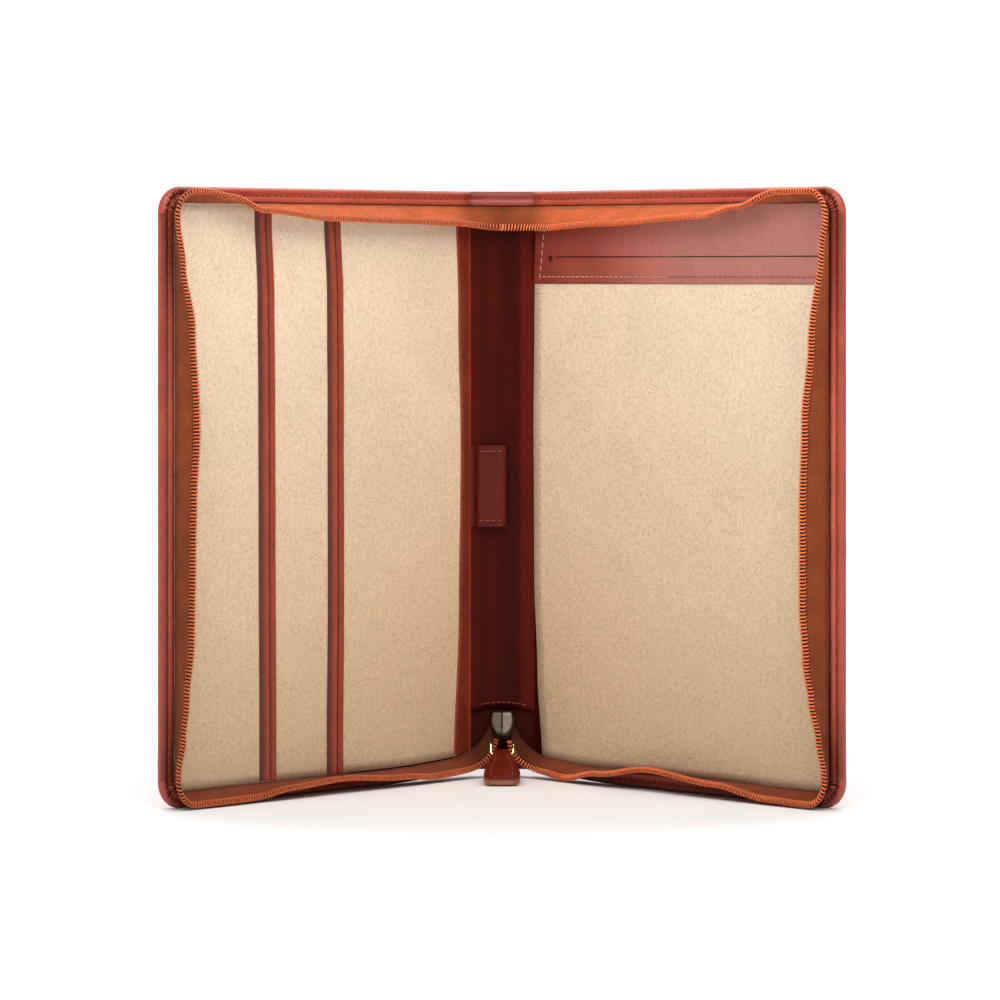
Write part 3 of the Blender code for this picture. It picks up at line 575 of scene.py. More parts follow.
def rim_shade(side, station, inset, out):
    """The turned border's painted light and shade: painted shade in its hollow, by the tape, in the
    corners' pleats, at the ends of the fore-edge, on the fore-edge's outermost edge and along the
    bottom edge; a painted highlight by the stitch line and along the top; painted shade over the
    spine; the left fore-edge painted darker than the right.
    """
    u, z, _, _, run, share = station
    mottled = 1 + 0.14 * bumpy(u * 300, z * 300, inset)
    if out > 0.5:
        return mottled * (0.85 if run == "fore" and inset < 1 else 1.0)
    hollow = keyed([(0.2, 0.85), (0.9, 0.74), (1.8, 0.66), (3.2, 0.62), (4.4, 0.90), (5.8, 1.10),
                    (7.4, 0.80), (8.6, 0.30)], inset)
    if "corner" in run:
        fold = corner_fold(side, share)
        deep = smooth((inset - 0.3) / 2.0)
        return mottled * (1 - deep * (1 - hollow * (0.20 + 0.95 * fold ** 1.5)))
    if run == "fore":
        # painted light: the left fore-edge darker and the right lighter, as the light falls
        side_light = 0.80 if side == LEFT else 1.12
        return side_light * hollow * mottled * keyed(
            [(0.02, 0.60), (0.07, 1.00), (0.22, 1.05), (0.33, 0.60)], z)
    if run == "top":
        # painted light and shade along the top: shade over the spine, a highlight along the covers'
        # top edge
        wear_and_shading = keyed([(-0.0185, 0.84), (-0.0050, 0.80), (-0.0012, 0.68), (0.0006, 0.62),
                      (0.003, 0.84), (0.009, 1.20), (0.20, 1.30), (0.25, 0.7)], share)
        return (1 - (1 - hollow) * 0.5) * mottled * wear_and_shading
    # painted shadow along the bottom edge, where it meets the floor
    return hollow * mottled * keyed([(0.2, 0.22), (1.2, 0.50), (3.0, 0.85)], inset)


def rim_point(side, station, inset, out, travelled):
    u, z, nu, nz, run, share = station
    wobble = bumpy(u * 60, z * 60, side * 3.0) * 0.16
    pleat = 0.0
    if "corner" in run:
        into = smooth(min(share, 1 - share) / 0.16)
        if inset > 1.2 and out < 1:
            reach = smooth((inset - 1.2) / 2.6)
            pleat = into * reach * (1.9 * (1 - corner_fold(side, share) ** 0.6) - 0.6)
    pucker = 0.0
    near = 1 - abs(inset - BORDER_SEAM / MM) / 1.4
    if near > 0:
        pucker = 0.16 * near * cos(2 * pi * travelled / STITCH_PITCH)
        pucker = pucker if out < 1 else -pucker
    inward = inset * MM
    return wrap(side, u + nu * inward, (out + wobble + pleat + pucker) * MM, z + nz * inward)


TRAVEL = [0.0]  # how far round the edge each station is
for (near_u, near_z, *_), (u, z, *_) in zip(STATIONS, STATIONS[1:]):
    TRAVEL.append(TRAVEL[-1] + sqrt((u - near_u) ** 2 + (z - near_z) ** 2))


def border_line(side, out):
    """The border's seam on one cover."""
    return [wrap(side, u + nu * BORDER_SEAM, out, z + nz * BORDER_SEAM)
            for u, z, nu, nz, run, share in STATIONS
            if run in ("top_corner", "fore", "low_corner") or share > 0.0045]


def seam_top(u, inset):
    """How high the inside of the border reaches, u from the spine's middle."""
    radius = CORNER - inset
    into = u - (RUN - CORNER)
    if into <= 0:
        return HEIGHT - inset
    return HEIGHT - CORNER + sqrt(max(radius * radius - into * into, 0.0))


def seam_bottom(u, inset):
    radius = CORNER - inset
    into = u - (RUN - CORNER)
    if into <= 0:
        return inset + (lift(u - HINGE_X) if u > HINGE_X else SPINE_LIFT)
    return CORNER - sqrt(max(radius * radius - into * into, 0.0))


def heights_at(u, inset, steps):
    """Evenly spaced heights across the inside of the border."""
    low, high = seam_bottom(u, inset), seam_top(u, inset)
    return [low + (high - low) * k / steps for k in range(steps + 1)]


def spaced(low, high, step):
    count = max(2, ceil(abs(high - low) / step) + 1)
    return [low + (high - low) * i / (count - 1) for i in range(count)]


SEWN_IN, SEWN_OUT = -0.00046, OUTSIDE - 0.00012  # how far out the border's seam lies, on each face
BORDER_THREAD = 0.30 * MM
THIN_THREAD = 0.22 * MM
FINE_THREAD = 0.20 * MM


def normal_of(side, facing):
    """Away from a cover's inside (facing -1) or outside (facing 1)."""
    return (on_cover(side, 0, facing, 0) - on_cover(side, 0, 0, 0)).normalized()


for side in (LEFT, RIGHT):
    name = NAMES[side]
    rows = [[rim_point(side, station, inset, out, travel) for inset, out in RIM]
            for station, travel in zip(STATIONS, TRAVEL)]
    tones = [[rim_shade(side, station, inset, out) for inset, out in RIM] for station in STATIONS]
    shell = grid(name + "_leather_edge", rows, OUTER, "leather", flip=side == LEFT, shades=tones)
    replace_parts(shell, name + "_cover_leather", name + "_hinge_leather")
    bend_with_cover(shell)

    us = spaced(0, HINGE_X + 0.006, 0.0008) + spaced(HINGE_X + 0.010, RUN - BACK_INSET, 0.004)
    rows = [[wrap(side, u, OUTSIDE + 0.16 * MM * bumpy(u * 30, z * 30, side * 9.0), z)
             for z in heights_at(u, BACK_INSET, 64)] for u in us]
    back = grid(name + "_leather_back", rows, OUTER, "leather", flip=side == LEFT)
    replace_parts(back, name + "_cover_leather", "spine_leather")
    bend_with_cover(back)

    rows = [[wrap(side, u, -0.00022, z) for z in heights_at(u, LINING_INSET, 40)]
            for u in us[:-1] + [RUN - LINING_INSET - 0.0005]]
    inside = grid(name + "_inner_leather", rows, LINING, "lining_leather", flip=side == RIGHT)
    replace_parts(inside, name + "_cover_board", name + "_cover_padding", "spine_board")
    bend_with_cover(inside)

    # stitching round the border, inside and outside
    fore = normal_of(side, -1)
    line = border_line(side, SEWN_IN)
    sewn = stitches(name + "_border_stitches", line, fore, THREAD_RED, BORDER_THREAD)
    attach(sewn, name + "_cover")
    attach(pits(name + "_border_needle_holes", line, fore, PIT, 0.40 * MM), name + "_cover")
    sewn = stitches(name + "_outside_stitches", border_line(side, SEWN_OUT), normal_of(side, 1),
                    THREAD_RED, BORDER_THREAD, slot="leather")
    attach(sewn, name + "_cover")
for z, place in ((HEIGHT - BORDER_SEAM, "top"), (SPINE_LIFT + BORDER_SEAM, "bottom")):
    for facing, out, label in ((-1, SEWN_IN, "inside"), (1, SEWN_OUT, "outside")):
        line = [Vector((x, HINGE_Y + out, z))
                for x in spaced(-HINGE_X + 0.002, HINGE_X - 0.002, 0.002)]
        sewn = stitches("spine_" + place + "_" + label + "_stitches", line, Vector((0, facing, 0)),
                        THREAD_RED, BORDER_THREAD)
        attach(sewn, "spine")


# -------------------- panels inside the covers
INTO_LEFT, INTO_RIGHT = normal_of(LEFT, -1), normal_of(RIGHT, -1)
FORE_SUEDE = 0.2356  # the suede's edge at the fore-edge, from the hinge line


def suede_panel(name, side, edge_low, edge_high, out, inset=SUEDE_INSET, bends=False):
    """Suede on a cover's inside; edge_low and edge_high give s at a height."""
    rows, tones = [], []
    for i in range(61):
        share = i / 60
        row = []
        for k in range(33):
            across = k / 32
            z = 0.04 + 0.26 * share
            s = edge_low(z) + (edge_high(z) - edge_low(z)) * across
            bottom = seam_bottom(s + HINGE_X, inset)
            z = bottom + (seam_top(s + HINGE_X, inset) - bottom) * share
            s = edge_low(z) + (edge_high(z) - edge_low(z)) * across
            ripple = 0.12 * MM * bumpy(s * 28, z * 22, out * 900)
            row.append(on_cover(side, s, out + ripple, z))
        rows.append(row)
        # painted shade: the suede darker towards the bottom, where less light falls
        low_shade = keyed([(0.02, 0.80), (0.15, 0.91), (0.30, 1.0)], rows[-1][0].z)
        tones.append([low_shade] * len(row))
    obj = grid(name, rows, SUEDE, "suede", flip=side == LEFT, shades=tones)
    thicken(obj, SUEDE_THICK)
    if bends:
        bend_with_cover(obj)
    else:
        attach(obj, NAMES[side] + "_cover")
    return obj


def upright(s):
    """An edge that runs straight up a cover."""
    return lambda z: s


def trim(name, right_edge, out):
    """A turned leather strip on a left pocket's mouth: two soft ridges and a stitched groove."""
    # (place across, sunk, tone), the first two in millimetres; the tone is painted light and shade:
    # dark flanks and groove, lit ridges
    profile = [(0.0, 1.30, 0.5), (0.2, 0.60, 0.8), (0.7, 0.10, 1.1), (1.6, -0.30, 1.05),
               (2.8, -0.35, 0.95), (4.0, -0.05, 0.80), (4.7, 0.25, 0.55), (5.1, 0.55, 0.25),
               (5.5, 0.25, 0.6), (6.2, -0.10, 1.25), (7.2, -0.40, 1.25), (8.2, -0.40, 1.0),
               (8.9, -0.20, 0.85), (9.8, 0.20, 0.60), (10.6, 0.55, 0.36), (11.6, 0.70, 0.34),
               (12.3, 0.85, 0.34), (12.5, 1.35, 0.34)]
    rows, tones = [], []
    for z in spaced(PANEL_INSET, HEIGHT - PANEL_INSET, 0.0012):
        row = []
        tones.append([tone * (1 + 0.16 * bumpy(z * 240, place, 3.0))
                      for place, sunk, tone in profile])
        for place, sunk, tone in profile:
            s = right_edge(z) + place * MM
            pucker = 0.12 * cos(2 * pi * z / STITCH_PITCH) if 4.2 < place < 6.0 else 0.0
            ripple = 0.14 * bumpy(z * 70, place * 0.3, right_edge(0) * 50)
            row.append(on_cover(LEFT, s, out + (sunk + pucker + ripple) * MM,
                                max(z, seam_bottom(s + HINGE_X, PANEL_INSET))))
        rows.append(row)
    obj = grid(name, rows, TRIMS, "trim_leather", flip=True, shades=tones)
    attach(obj, "left_cover")
    line = [on_cover(LEFT, right_edge(z) + 5.125 * MM, out + 0.38 * MM, z)
            for z in spaced(0.0120, HEIGHT - 0.0120, 0.004)]
    sewn = stitches(name + "_stitches", line, INTO_LEFT, THREAD_DARK, THIN_THREAD, pitch=0.0036)
    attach(sewn, "left_cover")
    return obj


def strip_edge(z):
    """The hinge strip's edge away from the spine: waisted at half height."""
    return keyed([(0.0, 0.0166), (0.10, 0.0120), (0.19, 0.0105), (0.27, 0.0125), (0.34, 0.0150)], z)


lining = suede_panel("left_suede_back", LEFT, upright(0.150), upright(FORE_SUEDE), -0.0008)
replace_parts(lining, "left_suede_lining")
middle = suede_panel("left_middle_pocket_suede", LEFT, upright(0.100), upright(0.1705), -0.0015)
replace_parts(middle, "left_middle_pocket")
front = suede_panel("left_front_pocket_suede", LEFT, lambda z: strip_edge(z) - 0.0040,
                    upright(0.1170), -0.0022, inset=0.0101)
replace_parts(front, "left_front_pocket")
for pocket, s, drift, out in (
        ("middle", 0.1592, [(0.03, -0.0003), (0.15, 0.0003), (0.22, 0.0006), (0.278, 0.0012),
                            (0.325, 0.0034)], -0.0025),
        ("front", 0.1060, [(0.03, 0.0008), (0.10, 0.0), (0.22, 0.0002), (0.278, 0.0006),
                           (0.325, 0.0030)], -0.0031)):
    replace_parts(trim("left_" + pocket + "_trim", lambda z: s + keyed(drift, z), out),
                "left_" + pocket + "_pocket_trim")

# (share of the strip's width, level in millimetres, tone); the tone is painted light and shade: a
# highlight near the hinge line and shade across the rest
STRIP_PROFILE = [(-0.03, 0.6, 0.9), (0.06, 1.2, 1.5), (0.13, 1.75, 1.7), (0.22, 2.05, 0.9),
                 (0.40, 2.45, 0.60), (0.60, 2.75, 0.55), (0.80, 2.90, 0.62), (0.93, 2.85, 0.75),
                 (0.99, 2.60, 0.95), (1.0, 2.0, 1.0)]
rows, tones = [], []
for z in spaced(PANEL_INSET, HEIGHT - PANEL_INSET, 0.002):
    row, tone = [], []
    for share, level, shade in STRIP_PROFILE:
        s = strip_edge(z) * share
        ripple = 0.10 * bumpy(z * 60, share * 4, 7.0)
        row.append(on_cover(LEFT, s, -(level + ripple) * MM,
                            max(z, seam_bottom(s + HINGE_X, PANEL_INSET))))
        tone.append(shade * (1 + 0.12 * bumpy(z * 200, share * 9, 1.0)))
    rows.append(row)
    tones.append(tone)
strip = grid("left_hinge_strip_leather", rows, TRIMS, "trim_leather", flip=True, shades=tones)
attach(strip, "left_cover")
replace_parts(strip, "left_hinge_strip")
line = [on_cover(LEFT, strip_edge(z) - 0.0022, -0.0029, z) for z in spaced(0.016, 0.326, 0.004)]
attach(stitches("left_hinge_strip_stitches", line, INTO_LEFT, THREAD_DARK, THIN_THREAD),
        "left_cover")


def suede_edge(z):
    """The right suede's raw edge along the spine: nearest the spine at half height."""
    return keyed([(0.010, 0.0085), (0.060, 0.0045), (0.120, 0.0018), (0.200, 0.0012),
                  (0.270, 0.0020), (0.340, 0.0042)], z)


writing_panel = suede_panel("right_suede", RIGHT, suede_edge, upright(FORE_SUEDE), -0.0014,
                            bends=True)
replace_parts(writing_panel, "right_suede_lining", "right_suede_panel")

# The slot panel
SLOT_LOW = 0.2862
SLOT_SEAM = SLOT_LOW + 0.0040
SLIT_Z = 0.3016
SLIT_START = 0.0195
rows, tones = [], []
heights = (spaced(SLOT_LOW, SLIT_Z - 0.0012, 0.0010)
           + spaced(SLIT_Z - 0.0007, SLIT_Z + 0.0007, 0.00014)
           + spaced(SLIT_Z + 0.0012, HEIGHT - FLAP_INSET, 0.0010))
for z in heights:
    row, tone = [], []
    for s in [k / 170 for k in range(171)]:
        place = suede_edge(z) + 0.0004 + (0.2350 - suede_edge(z)) * s
        inset = PANEL_INSET - 0.0010 * smooth((place - 0.15) / 0.03)
        level = min(z, seam_top(place + HINGE_X, inset))
        slit = smooth((place - SLIT_START) / 0.004) * max(0.0, 1 - abs(z - SLIT_Z) / 0.00034) ** 0.5
        raised = 0.25 * smooth((z - SLIT_Z) / 0.0004) * smooth((place - SLIT_START) / 0.02)
        dip = 0.16 * max(0.0, 1 - abs(z - SLOT_SEAM) / 0.0014)
        edge = 0.60 * max(0.0, 1 - (z - SLOT_LOW) / 0.0009) ** 2
        ripple = 0.18 * bumpy(place * 24, z * 24, 4.0)
        # the creases of real wear near the fore-edge: this mask shapes the panel and adds no colour
        wear_and_shading = smooth((place - 0.185) / 0.025) * smooth((0.232 - place) / 0.010)
        wear_and_shading *= smooth((z - 0.3025) / 0.004)
        drift = 2.2 * bumpy(place * 60, z * 60, 9.0)
        ripple += 0.085 * wear_and_shading * sin(2 * pi * (place + 0.55 * z) / 0.0052 + drift)
        out = -0.0024 + (dip + edge + ripple + slit - raised) * MM
        row.append(on_cover(RIGHT, place, out, level))
        # painted light and shade: a painted sheen growing towards the fore-edge, painted shade in
        # the slit and under the panel's lower lip
        sheen = keyed([(0.0, 0.56), (0.035, 0.70), (0.11, 1.12), (0.24, 1.12)], place)
        tone.append(sheen * (1 - 0.88 * slit) * (1 - 0.35 * edge / 0.6)
                    * (1 + 0.10 * bumpy(place * 90, z * 40, 2.0)))
    rows.append(row)
    tones.append(tone)
flap = grid("right_slot_panel_leather", rows, PANEL, "trim_leather", shades=tones)
bend_with_cover(flap)
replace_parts(flap, "right_slot_panel")


def disc(name, middle, facing, radius, made_of):
    """A round punched hole drawn as a dish, dark with painted shade, with a soft rim smoothed by
    use.
    """
    across = facing.cross(Vector((0, 0, 1))).normalized()
    up = across.cross(facing)
    sides = 20
    rings = [(1.30, 0.00), (1.12, 0.14), (1.0, 0.16), (0.90, 0.08), (0.0, 0.06)]
    points = [middle + radius * ring * (cosine * across + sine * up) + facing * (height * MM)
              for ring, height in rings for cosine, sine in circle(sides)]
    faces = grid_faces(len(rings), sides, closed=True)
    return mesh_object(name, points, faces, made_of, "trim_leather")


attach(disc("right_slot_punched_hole", on_cover(RIGHT, 0.0168, -0.0027, SLIT_Z - 0.0008),
             INTO_RIGHT, 1.35 * MM, PIT), "right_cover")
for low, high, made_of, label in ((0.0090, 0.108, THREAD_PALE, ""),
                                  (0.112, 0.228, THREAD_RED, "worn_")):
    line = [on_cover(RIGHT, s, -0.0026, SLOT_SEAM) for s in spaced(low, high, 0.004)]
    bend_with_cover(stitches("right_slot_panel_" + label + "stitches", line, INTO_RIGHT, made_of,
                             0.30 * MM, pitch=0.0040))
line = [on_cover(RIGHT, suede_edge(z) + 0.0052 + 0.09 * (z - SLOT_LOW), -0.0027, z)
        for z in spaced(SLOT_LOW + 0.002, 0.329, 0.004)]
bend_with_cover(stitches("right_slot_panel_end_stitches", line, INTO_RIGHT, THREAD_PALE, 0.28 * MM,
                         pitch=0.0046))
line = [on_cover(RIGHT, suede_edge(z) + 0.0048, -0.00155, z)
        for z in spaced(0.014, SLOT_LOW - 0.001, 0.004)]
bend_with_cover(pits("right_suede_needle_holes", line, INTO_RIGHT, THREAD_DARK, 0.30 * MM,
                     pitch=0.0046, slot="suede"))

# -------------------- the spine's lining
ARCH_LOW, ARCH_RISE = 0.0367, 0.0030


def arch(x):
    """The lining's bottom edge rises in the middle, over the slider."""
    return ARCH_LOW + ARCH_RISE * (1 - (x / HINGE_X) ** 2)


rows, tones = [], []
spots = spaced(-HINGE_X - 0.0004, HINGE_X + 0.0006, 0.0008)
for k in range(81):
    share = k / 80
    row = []
    # painted light and shade: the lining lit redder at both sides of its curve, shaded in the
    # middle and along its bottom row
    tones.append([keyed([(-0.0190, 2.1), (-0.0150, 1.5), (-0.0110, 1.1), (-0.0060, 1.3), (0.0, 1.0),
                         (0.0090, 0.95), (0.0125, 2.0), (0.0190, 2.6)], x)
                  * (1 + 0.20 * bumpy(x * 120, share * 6, 8.0)) * (0.55 if not k else 1)
                  for x in spots])
    for x in spots:
        bottom = arch(x)
        z = bottom + (HEIGHT - PANEL_INSET - bottom) * share
        swell = 0.55 * MM * cos(x / HINGE_X * pi * 1.5 + 0.5) + 0.35 * MM * bumpy(
            x * 60, z * 9, 2.0)
        lip = 0.5 * MM * max(0.0, 1 - (z - bottom) / 0.001)
        lip += 0.7 * MM * smooth((abs(x) - HINGE_X + 0.003) / 0.003)
        row.append(Vector((x, HINGE_Y - 0.0020 + swell * 0.8 + lip, z)))
    rows.append(row)
spine_lining = grid("spine_lining_leather", rows, LINING, "lining_leather", flip=True,
                    shades=tones)
thicken(spine_lining, LINING_THICK, 1.0)
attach(spine_lining, "spine")
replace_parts(spine_lining, "spine_lining")
line = [Vector((x, HINGE_Y - 0.0029, arch(x) + 0.0036)) for x in spaced(-0.0125, 0.0145, 0.001)]
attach(stitches("spine_lining_stitches", line, FORWARD, THREAD_RED, FINE_THREAD, pitch=0.0030,
                 slot="lining_leather"), "spine")

# -------------------- pen loop
LOOP_LOW, LOOP_HIGH = 0.1455, 0.1925
LOOP_SEAMS = {"lower": LOOP_LOW + 0.0034, "upper": LOOP_HIGH - 0.0034}
# (x, how far off the spine) across the loop, from its sewn left edge over to its right edge
crown = [(-0.0186, 0.0026), (-0.0172, 0.0028), (-0.0160, 0.0033), (-0.0151, 0.0048),
         (-0.0141, 0.0063), (-0.0122, 0.0072), (-0.0095, 0.0076), (-0.0058, 0.0077),
         (-0.0026, 0.0075), (0.0002, 0.0069), (0.0020, 0.0057), (0.0028, 0.0043), (0.0027, 0.0031),
         (0.0014, 0.0027), (-0.0020, 0.0026)]


def rounded_path(points, steps=4):
    """A smooth path through points, by Catmull-Rom."""
    found = []
    for i in range(len(points) - 1):
        a = points[max(i - 1, 0)]
        b, c = points[i], points[i + 1]
        d = points[min(i + 2, len(points) - 1)]
        for k in range(steps):
            t = k / steps
            found.append(0.5 * ((2 * b) + (c - a) * t + (2 * a - 5 * b + 4 * c - d) * t * t
                                + (3 * b - a - 3 * c + d) * t * t * t))
    found.append(points[-1])
    return found


path = rounded_path([Vector((x, HINGE_Y - y, 0)) for x, y in crown])
rows = []
for z in spaced(LOOP_LOW, LOOP_HIGH, 0.0012):
    row = []
    dip = 0.0
    for seam in LOOP_SEAMS.values():
        dip += 0.12 * MM * max(0.0, 1 - abs(z - seam) / 0.0010)
    for p in path:
        ripple = 0.12 * MM * bumpy(p.x * 200, z * 60, 1.0)
        row.append(p + Vector((0, dip + ripple, z)))
    rows.append(row)
pen_loop = grid("pen_loop_leather", rows, LOOP, "lining_leather", flip=True)
thicken(pen_loop, LOOP_THICK, 1.0)
bevel = pen_loop.modifiers.new("edges", "BEVEL")
bevel.width, bevel.segments, bevel.limit_method = 0.25 * MM, 2, "ANGLE"
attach(pen_loop, "spine")
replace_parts(pen_loop, "pen_loop")
for label, z in LOOP_SEAMS.items():
    line = [Vector((p.x, p.y - 0.0001, z)) for p in path
            if p.x > -0.0160 and p.y < HINGE_Y - 0.0066]
    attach(stitches("pen_loop_" + label + "_stitches", line, FORWARD, THREAD_RED, THIN_THREAD,
                     pitch=0.0034, slot="lining_leather"), "spine")

# -------------------- the zip
# (place, lean in degrees, reach in millimetres): along the top and the bottom the place is s,
# down the fore-edge it is the height.
LEANS = {
    (LEFT, "top"): [(0.0, 30, 12.6), (0.020, 43, 11.8), (0.069, 47, 11.5), (0.121, 52, 11.5),
                    (0.178, 72, 11.5), (0.206, 106, 11.5), (0.222, 118, 11.5)],
    (LEFT, "fore"): [(0.020, 124, 11.5), (0.038, 112, 11.5), (0.061, 102, 11.5),
                     (0.093, 87, 11.5), (0.140, 82, 11.5), (0.172, 78, 11.5), (0.208, 62, 11.5),
                     (0.262, 84, 11.5), (0.296, 112, 11.5), (0.322, 126, 11.5)],
    (LEFT, "low"): [(0.020, 122, 10.5), (0.038, 120, 11.0), (0.070, 105, 11.5),
                    (0.120, 92, 11.5), (0.157, 101, 11.5), (0.188, 118, 11.5),
                    (0.226, 120, 11.5)],
    (RIGHT, "top"): [(0.0, 22, 12.6), (0.064, 37, 11.5), (0.146, 58, 11.5), (0.178, 82, 11.5),
                     (0.208, 119, 11.5), (0.222, 120, 11.5)],
    (RIGHT, "fore"): [(0.020, 120, 11.5), (0.038, 106, 11.7), (0.061, 84, 12.0),
                      (0.080, 64, 12.4), (0.110, 54, 13.6), (0.165, 54, 13.6),
                      (0.208, 58, 12.6), (0.252, 82, 11.5), (0.306, 114, 11.5),
                      (0.322, 123, 11.5)],
    (RIGHT, "low"): [(0.020, 124, 10.5), (0.034, 128, 11.0), (0.067, 98, 11.5),
                     (0.106, 74, 11.5), (0.161, 93, 11.5), (0.200, 117, 11.5),
                     (0.226, 120, 11.5)],
}
SEAM_INSET = 0.0091
SEAM_OUT = -0.0014
LEAD_FROM = 0.020  # from here to the slider, or across the spine, the line is freely drawn


def lean_at(side, run, share):
    """The tape's lean and reach at a place of a run; round a corner they go from run to run."""
    if run.endswith("corner"):
        first = LEANS[side, run[:-7]][-1]
        last = LEANS[side, "fore"][-1 if run == "top_corner" else 0]
        t = share if run == "top_corner" else 1 - share
        return (first[1] + (last[1] - first[1]) * t, first[2] + (last[2] - first[2]) * t)
    keys = LEANS[side, run]
    return (keyed([(k[0], k[1]) for k in keys], share), keyed([(k[0], k[2]) for k in keys], share))


def zip_line(side):
    """(seam point, coil point) pairs from the spine's top middle to the slider."""
    pairs = []
    for u, z, nu, nz, run, share in STATIONS[::2]:
        s = u - HINGE_X
        if run in ("top", "low") and s < LEAD_FROM:
            continue
        lean, reach = lean_at(side, run, share)
        angle, length = radians(lean), reach * MM
        seam = wrap(side, u + nu * SEAM_INSET, SEAM_OUT, z + nz * SEAM_INSET)
        inward = SEAM_INSET + length * cos(angle)
        coil = wrap(side, u + nu * inward, SEAM_OUT - length * sin(angle), z + nz * inward)
        pairs.append((seam, coil))
    # across the spine at the top
    top_seam = [wrap(side, u, SEAM_OUT, HEIGHT - SEAM_INSET)
                for u in spaced(-0.0002, HINGE_X + LEAD_FROM - 0.0024, 0.0024)]
    ahead = pairs[0][1]
    heading = (pairs[1][1] - pairs[0][1]).normalized()
    middle = Vector((-side * 0.0002, HINGE_Y - 0.0066, 0.3200))
    bends = [middle, middle + Vector((side * 0.014, 0, 0.0002)), ahead - heading * 0.008, ahead]
    top_coil = bezier(bends, len(top_seam) + 1)[:-1]
    # from the cover's bottom edge up to the slider
    behind = pairs[-1][1]
    heading = (pairs[-1][1] - pairs[-2][1]).normalized()
    mouth = {LEFT: Vector((-0.0046, HINGE_Y - 0.0108, 0.0222)),
             RIGHT: Vector((0.0052, HINGE_Y - 0.0108, 0.0222))}[side]
    bends = [behind, behind + heading * 0.016,
             mouth + Vector((side * 0.0022, -0.0012, -0.0115)), mouth]
    low_coil = bezier(bends, 19)[1:]
    last_seam = pairs[-1][0]
    hidden = Vector((side * 0.0060, HINGE_Y - 0.0085, 0.0340))
    bends = [last_seam, last_seam + Vector((-side * 0.011, 0.006, 0.0014)),
             Vector((side * 0.0105, HINGE_Y - 0.0085, 0.0190)), hidden]
    low_seam = bezier(bends, 19)[1:]
    return list(zip(top_seam, top_coil)) + pairs + list(zip(low_seam, low_coil))


def bezier(bends, count):
    """count points along a cubic curve."""
    a, b, c, d = bends
    shares = [i / (count - 1) for i in range(count)]
    return [a * (1 - t) ** 3 + b * (3 * t * (1 - t) ** 2) + c * (3 * t * t * (1 - t)) + d * t ** 3
            for t in shares]


def even(pairs, step):
    """The same line of pairs, at equal steps of the coil."""
    lengths = lengths_to([coil for _, coil in pairs])
    count = int(lengths[-1] / step)
    places = [lengths[-1] * i / count for i in range(count + 1)]
    return [(pairs[k][0].lerp(pairs[k + 1][0], t), pairs[k][1].lerp(pairs[k + 1][1], t))
            for k, t in walk(lengths, places)]


